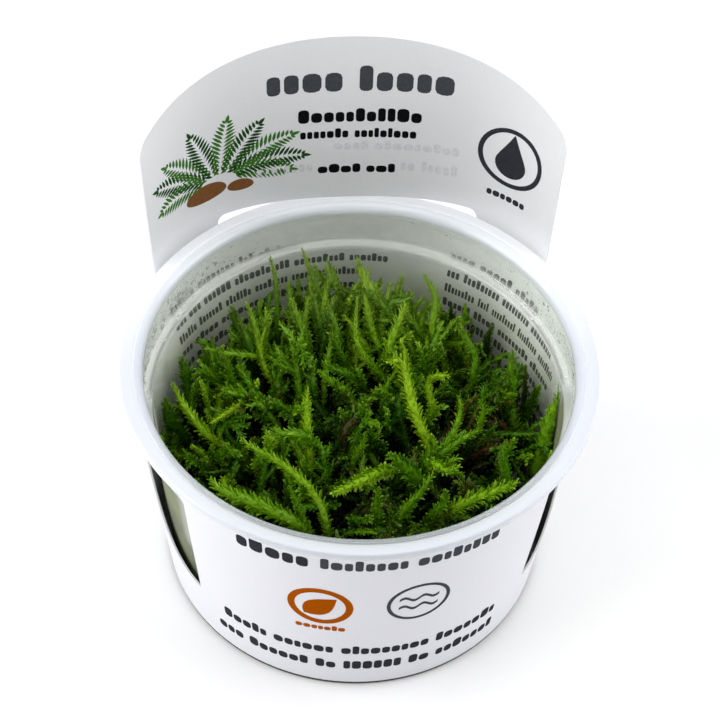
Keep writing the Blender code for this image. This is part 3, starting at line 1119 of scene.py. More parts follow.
# %% One leaf, pulled from a hexagon
def model_leaf():
    """A leaf of length 1 along X, with its ridge towards Z."""
    deselect_all()
    bpy.ops.mesh.primitive_circle_add(vertices=6, radius=0.5, location=(0.5, 0, 0))
    leaf = bpy.context.object
    bpy.ops.object.transform_apply(location=True)
    bpy.ops.object.mode_set(mode="EDIT")
    bpy.ops.mesh.select_all(action="SELECT")
    turn = (-leaf.data.vertices[0].co.y, leaf.data.vertices[0].co.x - 0.5)
    bpy.ops.transform.rotate(value=math.atan2(*turn), orient_axis="Z",
                             center_override=(0.5, 0, 0))
    bpy.ops.transform.resize(value=(1.0, 0.72, 1.0), center_override=(0.5, 0, 0))
    bpy.ops.object.mode_set(mode="OBJECT")
    corners = [v.co.copy() for v in leaf.data.vertices]
    bpy.data.objects.remove(leaf)
    points = np.array(sorted(corners, key=lambda c: round(c.x, 3) * 10 + c.y))
    sides = np.abs(points[:, 1]) > 0.1
    points[sides, 2] = -0.13
    points[sides & (points[:, 0] > 0.5), 1] *= 0.86
    base, low_right, low_left, high_right, high_left, tip = range(6)
    faces = np.array([(base, low_right, high_right), (base, high_right, tip),
                      (base, tip, high_left), (base, high_left, low_left),
                      (base, low_left, low_right), (low_right, low_left, high_left),
                      (low_right, high_left, high_right), (high_right, high_left, tip)])
    return points, faces


LEAF_POINTS, LEAF_FACES = model_leaf()
LEAF_BASE, LEAF_TIP = 0, 5
print("leaf corners", LEAF_POINTS.round(2).tolist())

# %% [markdown]
# ## Moss: one shoot
# On a wet shoot the leaves lie one over the other like scales, and at its edges their tips
# stand out like teeth. It is made in that way: a slim, flattened tube follows a curve and
# tapers to its tip, and leaves are set round it at the golden angle, as they grow on the real
# plant. Each point also keeps two numbers for the finish: how far up the shoot it sits, and
# how light the shoot is.

# %% A shoot along a curve
GOLDEN = math.radians(137.508)
BODY = 0.28  # the body's radius, as a share of the shoot's width
TIP_R = 0.04
LEAF_SHAPE = np.array([1.0, 0.72, 1.2])  # shares of the modelled leaf's length, width, height


def curve_through(points, steps):
    """A smooth curve through the given points (Catmull-Rom), sampled evenly by index."""
    p = np.asarray(points, dtype=float)
    p = np.vstack([2 * p[0] - p[1], p, 2 * p[-1] - p[-2]])
    found = []
    for i in range(1, len(p) - 2):
        t = np.linspace(0, 1, steps, endpoint=i == len(p) - 3)[:, None]
        a, b, c, d = p[i - 1], p[i], p[i + 1], p[i + 2]
        found.append(0.5 * (2 * b + (c - a) * t + (2 * a - 5 * b + 4 * c - d) * t ** 2
                            + (3 * b - a - 3 * c + d) * t ** 3))
    return np.vstack(found)


def unit(vectors):
    return vectors / np.maximum(np.linalg.norm(vectors, axis=-1, keepdims=True), 1e-12)


def spindle(t):
    """The share of its full width that a shoot has at t, from its base to its tip."""
    return np.minimum(1.0, 0.60 + 1.5 * t) * np.clip(1 - t ** 4, 0, 1) ** 0.65


def frames_along(line, along, places, face):
    """The points, ways ahead, sideways and out of the flat face, at places along a curve."""
    at, ahead, behind = (np.stack([np.interp(places + d, along, line[:, k]) for k in range(3)],
                                  axis=1) for d in (0, 0.4, -0.4))
    axis = unit(ahead - behind)
    depth = unit(face - (axis @ face)[:, None] * axis)
    return at, axis, np.cross(depth, axis), depth


class MossMesh:
    """Gathers the shoots of one tuft."""

    def __init__(self):
        self.points, self.faces, self.tones, self.smooth = [], [], [], []
        self.count = 0

    def put(self, points, faces, tones, smooth):
        """Takes n shapes: points (n, k, 3), the same faces (m, 3) for each, tones (n, k, 2)."""
        n, k = points.shape[:2]
        start = self.count + np.arange(n)[:, None, None] * k
        self.points.append(points.reshape(-1, 3))
        self.faces.append((faces[None] + start).reshape(-1, 3))
        self.tones.append(tones.reshape(-1, 2))
        self.smooth.append(np.full(n * len(faces), smooth))
        self.count += n * k

    def shoot(self, rng, path, width, shade, flat=0.6, facing=None, pitch=0.27, sides=6):
        """Lengths in millimetres. facing is the way that the flat side looks."""
        line = curve_through(path, 7)
        steps = np.linalg.norm(np.diff(line, axis=0), axis=1)
        along = np.concatenate([[0], np.cumsum(steps)])
        face = rng.normal(size=3) if facing is None else np.asarray(facing, dtype=float)
        self.body(rng, line, along, width, shade, flat, face, sides)
        self.leaves(rng, line, along, width, shade, flat, face, pitch)

    def body(self, rng, line, along, width, shade, flat, face, sides):
        """A closed, flattened tube that tapers to the tip."""
        rings = max(4, int(along[-1] / (1.1 if sides > 4 else 2.2)))
        t = np.linspace(0, 1, rings)
        at, axis, side, depth = frames_along(line, along, t * along[-1], face)
        radius = BODY * width * spindle(t) * rng.uniform(0.92, 1.08, rings)
        radius[-1] = TIP_R
        turns = [math.tau * k / sides for k in range(sides)]
        points = np.stack([at + side * (math.cos(a) * radius)[:, None]
                           + depth * (math.sin(a) * flat * radius)[:, None] for a in turns], axis=1)
        last = sides * (rings - 1)
        faces = [(0, k + 1, k) for k in range(1, sides - 1)]
        for i in range(rings - 1):
            for k in range(sides):
                a, b = sides * i + k, sides * i + (k + 1) % sides
                faces += [(a, b, b + sides), (a, b + sides, a + sides)]
        faces += [(last, last + k, last + k + 1) for k in range(1, sides - 1)]
        tones = np.zeros((1, rings * sides, 2))
        tones[0, :, 0] = np.repeat(t, sides) * 0.8
        tones[0, :, 1] = shade - 0.03
        self.put(points.reshape(1, -1, 3), np.array(faces), tones, True)

    def leaves(self, rng, line, along, width, shade, flat, face, pitch):
        """Leaves at the golden angle: close on the flat faces, standing out at the edges."""
        count = max(8, int(along[-1] / pitch))
        t = (np.arange(count) + rng.uniform(0.1, 0.9, count)) / count
        at, axis, side, depth = frames_along(line, along, t * along[-1], face)
        turn = np.arange(count) * GOLDEN + rng.uniform(0, math.tau)
        turn -= 0.30 * np.sin(2 * turn)
        edge = np.abs(np.cos(turn))
        round_way = side * np.cos(turn)[:, None] + depth * (np.sin(turn) * flat)[:, None]
        radius = BODY * width * spindle(t) * np.linalg.norm(round_way, axis=1)
        out = unit(round_way)
        lean = np.radians(rng.uniform(31, 55, count)) * (0.42 + 0.58 * edge) * (1 - 0.5 * t ** 4)
        size = np.clip(0.44 * width + 0.30, 1.0, 2.0) * (0.7 + 0.3 * spindle(t))
        size = size * rng.uniform(0.72, 1.22, count)
        along_leaf = axis * np.cos(lean)[:, None] + out * np.sin(lean)[:, None]
        up_leaf = out * np.cos(lean)[:, None] - axis * np.sin(lean)[:, None]
        across = np.cross(up_leaf, along_leaf)
        base = at + out * (radius * 0.72)[:, None]
        shape = LEAF_POINTS[None] * LEAF_SHAPE * size[:, None, None]
        leaves = (base[:, None] + shape[..., 0:1] * along_leaf[:, None]
                  + shape[..., 1:2] * across[:, None] + shape[..., 2:3] * up_leaf[:, None])
        leaves[:, LEAF_TIP] += up_leaf * (rng.normal(0.02, 0.05, count) * size)[:, None]
        tone = np.stack([t, shade + rng.normal(0, 0.065, count)], axis=1)
        tone = np.repeat(tone[:, None], len(LEAF_POINTS), axis=1)
        tone[:, LEAF_TIP, 0] += 0.22
        tone[:, LEAF_BASE, 0] -= 0.12
        self.put(leaves, LEAF_FACES, tone, False)

    def piece(self, name):
        """The tuft as one mesh piece, with its tones as a map."""
        points = inside_cup(np.vstack(self.points))
        faces = np.vstack(self.faces)
        mesh = bpy.data.meshes.new(name)
        mesh.vertices.add(len(points))
        mesh.vertices.foreach_set("co", (points * MM).ravel())
        mesh.loops.add(faces.size)
        mesh.loops.foreach_set("vertex_index", faces.ravel())
        mesh.polygons.add(len(faces))
        mesh.polygons.foreach_set("loop_start", np.arange(len(faces)) * 3)
        mesh.update(calc_edges=True)
        mesh.polygons.foreach_set("use_smooth", np.concatenate(self.smooth))
        tones = np.vstack(self.tones)
        layer = mesh.uv_layers.new(name="tone")
        layer.data.foreach_set("uv", np.clip(tones[faces.ravel()], 0, 1).ravel())
        mesh.validate()
        return add_to_scene(name, mesh)


# %% Keeping the shoots inside the cup, in millimetres
WALL_CLEAR = 0.25
PRESSED_DEPTH = 0.35
SUNK_IN_GEL = 1.2


def inside_cup(points):
    """Presses what would pass through the wall against its inner face, or into the gel."""
    r = np.hypot(points[:, 0], points[:, 1])
    z = points[:, 2]
    wall = np.where(z > LEDGE_Z / MM, MOUTH_R, cup_inner_radius(z * MM)) / MM - WALL_CLEAR
    over = np.maximum(r - wall, 0)
    pressed = wall - PRESSED_DEPTH * (1 - np.exp(-over))
    share = np.where(over > 0, pressed / np.maximum(r, 1e-9), 1.0)
    held = points.copy()
    held[:, :2] *= share[:, None]
    held[:, 2] = np.maximum(held[:, 2], GEL_TOP / MM - SUNK_IN_GEL)
    return held


# %% [markdown]
# ## Moss: fronds, and the shoots that catch the eye
# Many shoots belong to fronds: a main axis with shorter side shoots, left and right by turns,
# all in one plane. Fronds rise from the gel and lean out towards the wall, and young shoots
# without branches stand between them. Over them stand the single bright shoots that the
# photograph shows best, placed one by one.

# %% Shoots placed one by one, from the tip down, in millimetres
MARKED_SHOOTS = (
    # width, shade, points
    (1.7, .55, (-17.5, 34.8, 54.5), (-16.3, 33.1, 48.9), (-16.0, 29.1, 38.0)),
    (1.9, .70, (-10.3, 36.5, 55.0), (-8.4, 35.1, 49.0), (-6.0, 33.8, 42.8), (-2.3, 32.8, 36.0)),
    (2.2, .55, (-4.8, 34.4, 53.5), (-3.3, 33.9, 49.4), (-1.8, 32.5, 42.4), (-0.6, 31.3, 37.0)),
    (2.3, .85, (1.6, 32.6, 55.5), (3.2, 31.0, 52.0), (3.6, 28.0, 46.7), (5.0, 24.4, 40.4),
     (7.0, 22.2, 36.0)),
    (1.9, .85, (1.4, 26.4, 49.5), (1.0, 22.9, 43.6), (1.6, 20.8, 39.9), (5.0, 19.0, 35.0)),
    (1.7, .95, (-23.0, 28.1, 47.0), (-21.9, 26.4, 44.5), (-20.7, 22.5, 39.6), (-19.7, 20.6, 37.0)),
    (1.5, .90, (-18.8, 27.3, 45.5), (-18.8, 25.0, 42.7), (-20.0, 22.6, 39.5), (-19.7, 20.6, 37.0)),
    (2.2, .90, (-20.1, 19.8, 40.0), (-19.2, 17.6, 36.9), (-17.6, 16.0, 34.1), (-15.5, 13.6, 30.0)),
    (2.0, .75, (-31.6, 19.3, 42.0), (-27.9, 19.3, 40.6), (-24.8, 19.7, 39.4), (-21.0, 20.1, 38.0)),
    (2.3, .45, (-32.7, 20.3, 41.0), (-32.0, 19.3, 37.5), (-31.6, 16.8, 30.0)),
    (4.4, .45, (-37.5, 17.4, 41.0), (-36.4, 16.2, 36.1), (-35.5, 14.3, 30.0)),
    (2.1, .60, (-27.9, 16.3, 43.0), (-26.7, 15.1, 37.0), (-25.7, 13.7, 31.0)),
    (2.7, .90, (-39.2, 7.1, 44.5), (-37.7, 4.7, 42.1), (-32.9, 0.2, 36.7), (-28.5, -1.0, 33.2),
     (-22.9, -2.3, 29.0)),
    (4.6, .35, (-41.1, 6.5, 40.0), (-40.4, 5.5, 35.5), (-38.2, 4.8, 30.0)),
    (2.1, 1.0, (-31.3, -1.1, 41.5), (-26.4, 5.0, 38.6), (-21.6, 9.9, 36.0)),
    (1.6, .60, (-14.7, 20.2, 41.0), (-12.4, 18.9, 37.6), (-10.7, 17.9, 35.0)),
    (2.3, .95, (-10.6, 2.3, 47.0), (-11.0, 0.1, 43.9), (-10.5, -4.8, 37.0)),
    (2.4, .70, (-7.7, 10.3, 44.0), (-5.2, 9.7, 41.3), (-1.9, 9.5, 38.0)),
    (2.2, .55, (-6.6, 13.5, 43.0), (-3.7, 13.6, 40.3), (0.2, 14.3, 37.0)),
    (2.0, .55, (-4.9, 20.8, 44.0), (-3.3, 20.6, 41.0), (-1.5, 19.6, 36.0)),
    (2.0, .45, (-12.2, 25.2, 43.0), (-11.5, 23.9, 39.4), (-10.7, 21.7, 34.0)),
    (2.4, .80, (16.3, 29.3, 53.0), (18.7, 28.0, 48.5), (18.8, 26.5, 45.2), (18.2, 24.8, 41.4),
     (19.1, 22.4, 36.0)),
    (2.6, .60, (4.0, 28.3, 50.0), (8.2, 27.1, 44.9), (10.6, 25.8, 41.6), (13.6, 22.9, 36.0)),
    (1.5, .70, (10.9, 21.7, 44.0), (12.4, 21.2, 41.3), (13.9, 19.9, 37.0)),
    (2.3, .60, (24.0, 18.7, 47.0), (25.8, 17.3, 43.5), (27.2, 15.8, 40.2), (26.8, 14.1, 37.0)),
    (3.0, .60, (34.6, 12.3, 45.5), (34.3, 10.7, 42.1), (35.0, 9.0, 38.6), (34.1, 7.4, 35.0)),
    (2.4, .95, (20.0, 6.3, 46.0), (17.0, 8.4, 43.0), (15.8, 7.5, 40.9), (16.7, 5.6, 38.0)),
    (3.1, 1.0, (6.9, 7.2, 50.0), (9.7, 9.0, 48.1), (10.9, 6.6, 45.5), (11.7, 3.5, 42.2),
     (13.5, -0.4, 37.9), (15.2, -2.8, 35.0)),
    (1.7, .60, (11.7, 11.9, 46.0), (12.2, 10.8, 42.6), (12.6, 9.2, 38.0)),
    (1.1, .75, (9.2, 9.4, 45.0), (7.1, 8.5, 41.1), (6.3, 7.2, 38.0)),
    (2.0, .70, (21.7, -0.1, 46.0), (21.9, -1.8, 43.7), (20.4, -4.5, 39.6), (17.9, -5.9, 36.0)),
    (2.3, .65, (25.2, -7.6, 44.0), (23.0, -7.3, 41.9), (20.4, -7.3, 39.3), (17.3, -7.8, 36.0)),
    (4.0, .55, (5.8, -13.7, 44.0), (8.5, -13.4, 40.8), (11.9, -13.8, 36.0)),
    (2.2, .80, (19.9, -17.2, 44.0), (17.7, -16.4, 41.8), (15.5, -12.0, 39.0)),
    (2.3, .65, (14.1, -19.8, 45.0), (12.1, -21.0, 41.1), (9.3, -21.6, 36.9), (7.3, -22.8, 33.0)),
    (2.4, .60, (16.8, -23.4, 44.0), (16.6, -23.3, 39.5), (14.5, -22.0, 34.0)),
    (3.2, .85, (31.4, -23.3, 46.0), (27.4, -22.5, 42.3), (23.1, -21.6, 38.5), (18.2, -21.4, 34.0)),
    (2.0, .55, (30.4, -11.6, 45.0), (30.0, -12.4, 42.2), (31.0, -13.7, 38.0), (31.6, -14.7, 35.0)),
    (1.6, .80, (43.9, 1.6, 47.5), (43.4, 0.6, 45.1), (42.6, -0.6, 42.3), (41.5, -2.4, 39.0)),
    (5.6, .70, (43.3, -0.4, 46.0), (42.0, -1.9, 41.8), (40.7, -4.4, 36.0), (39.4, -6.5, 31.0)),
    (2.4, .60, (2.7, -22.4, 44.0), (2.6, -22.8, 38.9), (3.0, -23.3, 34.0)),
    (2.6, .85, (-24.9, -10.7, 47.0), (-21.2, -11.9, 44.5), (-17.4, -12.8, 42.1),
     (-13.1, -15.0, 39.0), (-9.3, -18.5, 35.6), (-7.9, -22.1, 33.0)),
    (4.2, .75, (-31.5, -20.2, 46.0), (-29.3, -21.5, 44.1), (-24.4, -21.6, 41.0),
     (-19.3, -22.2, 37.6), (-13.9, -23.1, 34.0)),
    (1.9, .60, (-15.4, -20.2, 43.0), (-13.6, -21.5, 37.9), (-12.2, -23.0, 33.0)),
    (2.9, .90, (-6.6, -23.9, 45.5), (-2.6, -20.1, 42.7), (4.2, -13.2, 38.0)),
    (2.2, .40, (-24.6, 24.4, 44.0), (-23.4, 22.8, 39.1), (-22.6, 21.0, 34.0)),
    (3.2, .40, (-26.2, 28.3, 45.0), (-25.0, 27.1, 39.3), (-24.0, 25.8, 34.0)),
    (1.9, .70, (26.8, 1.3, 43.0), (27.4, 0.6, 40.4), (26.7, -0.2, 37.0)),
)
TOWARDS_CAMERA = (-0.07, -0.65, 0.76)
LIGHT_SIDE = np.array([0.0, -0.5, 0.8])

# %% Where the cushion has its tufts, hollows and clumps, in millimetres
RING_EDGES = (8.8, 24.8)
RING_COUNTS = (1, 6, 11)  # tufts in the middle, round it and along the wall
HOLLOWS = (
    # x, y and reach, where the cushion opens and the shade is deep
    (-4.3, -20.2, 5.2), (11.6, -1.8, 4.6), (7.5, -14.0, 4.8), (-6.7, 9.4, 4.6), (24.4, -6.7, 4.2),
    (5.4, -6.7, 4.0), (-16.3, -17.6, 4.0), (-8.3, 21.6, 4.2), (-13.0, 10.2, 3.8),
    (-5.3, -9.8, 3.6), (26.6, 10.9, 3.8), (-1.1, -6.2, 3.4), (14.9, -16.0, 3.4),
    (32.8, 0.7, 3.4), (21.0, -12.5, 3.2), (2.3, 11.9, 3.2), (-5.3, -0.8, 3.2),
    (-23.1, -10.4, 3.2), (-15.1, 28.7, 3.4), (20.2, 6.6, 3.0), (22.6, 18.6, 3.2),
    (0.8, 20.4, 3.0), (-19.5, 0.9, 3.0), (-27.5, 1.2, 2.8), (9.0, 12.8, 2.6),
)
CLUMPS = (
    # x and y of the clumps of young shoots, which stand higher and are lighter
    (12.6, 9.4), (-20.9, 27.4), (11.5, 18.5), (-20.5, 12.4), (3.7, 35.6), (-26.8, 8.1),
    (17.7, -10.1), (-33.1, 0.2), (21.6, -3.7), (6.4, 5.9), (-18.2, -6.4), (-10.6, -0.1),
    (18.1, 14.1), (0.6, -1.4), (1.0, -12.4), (31.3, -9.8),
)
CLUMP_REACH = 3.6
OLD_PATCH = (29.0, 2.0, 8.0)


def hollow_at(x, y):
    """How deep in a hollow a point from above is, from 0 to 1. Hollows reach further in y."""
    return max(math.exp(-(((x - hx) / (0.72 * reach)) ** 2 + ((y - hy) / (0.95 * reach)) ** 2))
               for hx, hy, reach in HOLLOWS)


def clump_at(x, y):
    """How near the middle of a clump a point from above is, from 0 to 1."""
    return max(math.exp(-((x - cx) ** 2 + (y - cy) ** 2) / CLUMP_REACH ** 2)
               for cx, cy in CLUMPS)


def shoot_tone_with_painted_light(rng, x, y, shade):
    """The shade of a shoot whose tip is here.

    It is lighter in a clump and brown in the old patch. It is also painted lighter at the
    back and at both sides, a painted light, and painted darker in a hollow and at the front,
    a painted shade.
    """
    ox, oy, reach = OLD_PATCH
    if math.hypot(x - ox, y - oy) < reach and rng.random() < 0.55:
        return rng.uniform(0.03, 0.13)
    # Lighter at the back and both sides is painted light. Darker at the front and in a hollow is
    # painted shade.
    lit = 0.19 * smooth_step(4.0, 28.0, y) + 0.06 * smooth_step(8.0, 28.0, -x)
    lit += 0.07 * smooth_step(14.0, 32.0, x)
    painted_front_shade = 0.11 * smooth_step(10.0, 30.0, -y)
    return float(np.clip(shade + 0.24 * clump_at(x, y) - 0.28 * hollow_at(x, y) + lit - painted_front_shade,
                         0.13, 1.0))


def tuft_of(x, y):
    """The number of the tuft whose place from above a point lies in."""
    r = math.hypot(x, y)
    ring_index = sum(r > edge for edge in RING_EDGES)
    count = RING_COUNTS[ring_index]
    turn = math.degrees(math.atan2(y, x)) - 90 + 180 / count
    return sum(RING_COUNTS[:ring_index]) + int((turn % 360) / (360 / count)) % count


def cushion_top(x, y):
    """The height of the cushion's surface: higher at the back, lower at the wall, and hilly."""
    r = math.hypot(x, y)
    hills = math.sin(x * 0.23 + 1.1) * math.cos(y * 0.19 - 0.6) + 0.6 * math.sin((x - y) * 0.37)
    slope = 0.17 * y if y > 0 else 0.05 * y
    return 37.0 + slope - 6.0 * (r / 42) ** 4 + 3.2 * hills


# %% One function for each kind of shoot that fills the cushion
def spread(rng, count, reach):
    """Points that fill a disc evenly but not regularly."""
    i = np.arange(count) + 0.5
    r = reach * np.sqrt(i / count)
    a = i * GOLDEN
    jitter = rng.normal(0, reach / math.sqrt(count) * 0.6, (count, 2))
    return np.stack([r * np.cos(a), r * np.sin(a)], axis=1) + jitter


def growth(rng, x, y, wander):
    """The way a shoot grows: up, and outwards near the wall."""
    r = math.hypot(x, y)
    out = np.array([x, y, 0]) / max(r, 1e-6) * (0.05 + 0.40 * (r / 40) ** 2)
    way = np.array([0, 0, 1.0]) + out + np.append(rng.normal(0, wander, 2), 0)
    return way / np.linalg.norm(way)


def grow_frond(mesh, rng, x, y, top):
    """A main shoot with side shoots left and right, all in one plane."""
    way = growth(rng, x, y, 0.50)
    length = rng.uniform(14, 22)
    tip = np.array([x, y, 0]) + way * 8
    tip[2] = top + rng.normal(0.3, 1.6) - 11.0 * hollow_at(tip[0], tip[1])
    root = tip - way * length
    root[2] = max(root[2], 8.0)
    droop = unit(np.array([way[0], way[1], 0.0]) + rng.normal(0, 0.3, 3))
    middle = 0.5 * (root + tip) - droop * length * 0.06
    last = tip + droop * length * 0.12 - np.array([0, 0, rng.uniform(0.3, 2.2)])
    path = [root, middle, tip, last]
    shade = shoot_tone_with_painted_light(rng, tip[0], tip[1], rng.normal(0.35, 0.13))
    width = rng.uniform(2.4, 3.4)
    plane = unit(unit(np.cross(way, rng.normal(size=3))) + LIGHT_SIDE * 0.8)
    mesh.shoot(rng, path, width, shade, flat=0.5, facing=plane)
    line = curve_through(path, 8)
    for k in range(rng.integers(3, 6)):
        t = 0.34 + 0.12 * k + rng.uniform(-0.04, 0.04)
        i = int(t * (len(line) - 1))
        start = line[i]
        ahead = unit(line[min(i + 2, len(line) - 1)] - start + 1e-6)
        side = np.cross(plane, ahead) * (1 if k % 2 else -1)
        reach = (1.05 - t) * length * 0.55 * rng.uniform(0.7, 1.25)
        lean = rng.uniform(0.7, 1.0)
        mid = start + (ahead + side * lean) * reach * 0.38
        end = mid + (ahead + side * lean * 0.55) * reach * 0.45
        mesh.shoot(rng, [start, mid, end], width * rng.uniform(0.65, 0.9),
                   shade + rng.normal(0.04, 0.04), flat=0.5, facing=plane)


def grow_single(mesh, rng, x, y, top):
    """A young shoot without branches, which stands a little above its neighbours."""
    way = growth(rng, x, y, 0.42)
    tip = np.array([x, y, 0]) + way * 5
    tip[2] = (top + rng.gamma(1.6, 1.3) - 1.0 + 1.6 * clump_at(tip[0], tip[1])
              - 12.0 * hollow_at(tip[0], tip[1]))
    length = rng.uniform(11, 18)
    root = tip - way * length
    bend = rng.normal(0, 0.10, 3) * length
    nod = np.array([way[0], way[1], -0.25]) * rng.uniform(0, 2.0)
    mesh.shoot(rng, [root, 0.5 * (root + tip) + bend, tip - way * 2, tip + nod],
               rng.uniform(2.3, 3.8), shoot_tone_with_painted_light(rng, tip[0], tip[1], rng.normal(0.46, 0.17)),
               flat=rng.uniform(0.42, 0.7), facing=rng.normal(size=3) * 0.6 + LIGHT_SIDE)


def grow_on_wall(mesh, rng, angle, high, shade):
    """A shoot that climbs the wall to this height and is pressed flat against it."""
    low = rng.uniform(7.5, 16)
    drift = rng.normal(0, 0.05, 4)
    path = []
    for share, side in zip((0, 0.35, 0.7, 1.0), np.cumsum(drift)):
        z = low + (high - low) * share
        r = cup_inner_radius(z * MM) / MM - 0.9
        path.append(np.array([r * math.cos(angle + side), r * math.sin(angle + side), z]))
    mesh.shoot(rng, path, rng.uniform(2.6, 4.6), np.clip(rng.normal(shade, 0.10), 0.14, 0.8),
               flat=0.22, facing=(math.cos(angle), math.sin(angle), -0.05))


def grow_at_back(mesh, rng, angle, r):
    """A tall young shoot at the back, which stands up against the wall."""
    way = np.array([math.cos(angle), math.sin(angle), 0.0])
    tip = way * r + np.array([0, 0, 43.0 + rng.uniform(0, 8.0)])
    lean = np.append(rng.normal(0, 1.6, 2), 0)
    root = way * (r - rng.uniform(3, 6)) + np.array([0, 0, tip[2] - rng.uniform(15, 20)])
    mesh.shoot(rng, [root, 0.5 * (root + tip) + lean - way, tip - lean * 0.3],
               rng.uniform(2.2, 3.4), np.clip(rng.normal(0.62, 0.12), 0.35, 0.95),
               flat=0.45, facing=LIGHT_SIDE)


def grow_under(mesh, rng, x, y, top):
    """The old dark shoots low in the cushion, which lie every way."""
    way = unit(rng.normal(size=3) * (1, 1, 0.7) + (0, 0, 0.7))
    root = np.array([x, y, rng.uniform(7.5, 16)])
    length = rng.uniform(10, 18)
    end = root + way * length
    end[2] = min(end[2], top - 7 - 3 * hollow_at(end[0], end[1]))
    shade = rng.choice((0.04, 0.14, 0.20, 0.26))
    mesh.shoot(rng, [root, 0.5 * (root + end) + rng.normal(0, 1.2, 3), end],
               rng.uniform(1.9, 2.8), shade, pitch=0.60, sides=4)


# %% [markdown]
# ## Moss finish
# Each leaf knows how far along its shoot it sits and how light its shoot is, through the map
# that the shoots wrote. Young shoots are a bright yellow green, older ones a deep green, and
# the oldest are brown. Tips are lighter, and high at the back they get a painted light, a pale
# mix for the light that the pale card shines on them. Low in the cushion all of it is painted
# near black, a painted shade, except at the wall, which is left lighter for the light through
# the windows.

# %% Moss finish
def moss_finish():
    f = Finish("weeping moss")
    tone = f.split(f.add("UVMap", uv_map="tone").outputs["UV"])
    place = f.object_place()
    at = f.split(place)
    young = f.ramp(tone["Y"], (0.0, (0.085, 0.034, 0.010)), (0.10, (0.050, 0.050, 0.010)),
                   (0.25, (0.017, 0.080, 0.001)), (0.50, (0.062, 0.205, 0.002)),
                   (0.75, (0.170, 0.370, 0.006)), (1.0, (0.290, 0.490, 0.012)))
    colour = f.mix(f.slope(tone["X"], 0.55, 1.0, 0.30), young, (0.250, 0.420, 0.012))
    # High at the back the colour is mixed towards a pale green: painted light from the card.
    painted_light_high_at_back = f.product(f.slope(at["Y"], 0.012, 0.034, 0.42), f.slope(at["Z"], 0.036, 0.050))
    colour = f.mix(painted_light_high_at_back, colour, (0.390, 0.520, 0.110))
    # Low in the cushion the colour is mixed to near black: painted shade, left off near the wall.
    at_wall = f.slope(f.from_axis(place), 0.0370, 0.0395, 0.85)
    in_light = f.math("MAXIMUM", f.between(at["Z"], 0.021, 0.040), at_wall)
    colour = f.mix(in_light, (0.004, 0.013, 0.001), colour)
    mottle = f.ramp(f.noise(420, 2, 0.5, place), (0.3, (0.75, 0.78, 0.72)), (0.7, (1.15, 1.1, 1.0)))
    f.feed(f.shader, {"Base Color": f.mix(1.0, colour, mottle, "MULTIPLY"), "Roughness": 0.34,
                      "Specular IOR Level": 0.20})
    scales = f.add("TexVoronoi", {"Scale": 1100.0, "Vector": place}).outputs["Distance"]
    f.bump(scales, 0.45, 0.0004)
    return f.material


# %% Grow the cushion, tuft by tuft
UNDER_COUNT = 500
WALL_COUNT = 84
BACK_COUNT = 26
FROND_COUNT = 120
SINGLE_COUNT = 300
WINDOW_TURNS = [math.radians(turn) for turn in (203, 337)]
WINDOW_REACH = 0.33


def grow_all_over(kind, tufts, rng, count, reach):
    """Shoots of one kind, spread over the whole cushion as far as this from the axis."""
    for x, y in spread(rng, count, reach):
        r = math.hypot(x, y)
        if r > reach:
            x, y = x * reach / r, y * reach / r
        kind(tufts[tuft_of(x, y)], rng, x, y, cushion_top(x, y))


def grow_round_wall(tufts, rng):
    """Shoots on the wall, three times as many behind each window and painted lighter there."""
    for i in range(WALL_COUNT):
        angle = math.tau * (i + rng.uniform(-0.4, 0.4)) / WALL_COUNT
        by_window = min(abs(angle - turn) for turn in WINDOW_TURNS) < WINDOW_REACH
        for _ in range(3 if by_window else 1):
            angle += rng.normal(0, 0.02)
            tuft = tufts[tuft_of(40 * math.cos(angle), 40 * math.sin(angle))]
            high = rng.uniform(30, 42) if by_window else rng.uniform(26, 38)
            # The shoots behind a window get a lighter shade: painted light from the window.
            grow_on_wall(tuft, rng, angle, high, 0.58 if by_window else 0.36)


def grow_along_back(tufts, rng):
    """The tall shoots, side by side along the back of the cushion."""
    for i in range(BACK_COUNT):
        angle = math.radians(58 + 84 * (i + rng.uniform(-0.4, 0.4)) / BACK_COUNT)
        r = rng.uniform(25, 36)
        grow_at_back(tufts[tuft_of(r * math.cos(angle), r * math.sin(angle))], rng, angle, r)


def grow_marked(tufts, rng):
    """The shoots placed one by one, each with a root added below its lowest point."""
    for width, shade, *points in MARKED_SHOOTS:
        path = [np.array(p) for p in reversed(points)]
        path.insert(0, path[0] + (path[0] - path[1]) * 0.6 - np.array([0, 0, 3.0]))
        x, y, _ = path[0]
        tufts[tuft_of(x, y)].shoot(rng, path, width * 1.15, shade, flat=0.5,
                                   facing=TOWARDS_CAMERA, pitch=0.26)


def grow_moss():
    rng = np.random.default_rng(7)
    tufts = [MossMesh() for _ in range(sum(RING_COUNTS))]
    grow_all_over(grow_under, tufts, rng, UNDER_COUNT, 39.0)
    grow_round_wall(tufts, rng)
    grow_along_back(tufts, rng)
    grow_all_over(grow_frond, tufts, rng, FROND_COUNT, 37.5)
    grow_all_over(grow_single, tufts, rng, SINGLE_COUNT, 38.0)
    grow_marked(tufts, rng)
    return tufts


moss = moss_finish()
for index, tuft in enumerate(grow_moss()):
    tuft_piece = tuft.piece(f"weeping_moss_{index:02d}")
    place_in_frame(tuft_piece, moss, "moss", f"moss_tuft_{index:02d}")

# %% [markdown]
# ## Drops
# The closed cup sweated before it was opened. Fine drops cling to the band above the ledge,
# with larger ones among them at the left, and larger ones lie on the ledge. The front of the
# band has none. One drop is part of an ico sphere, cut with bisect and closed, and it is
# copied with its flat side on the plastic.

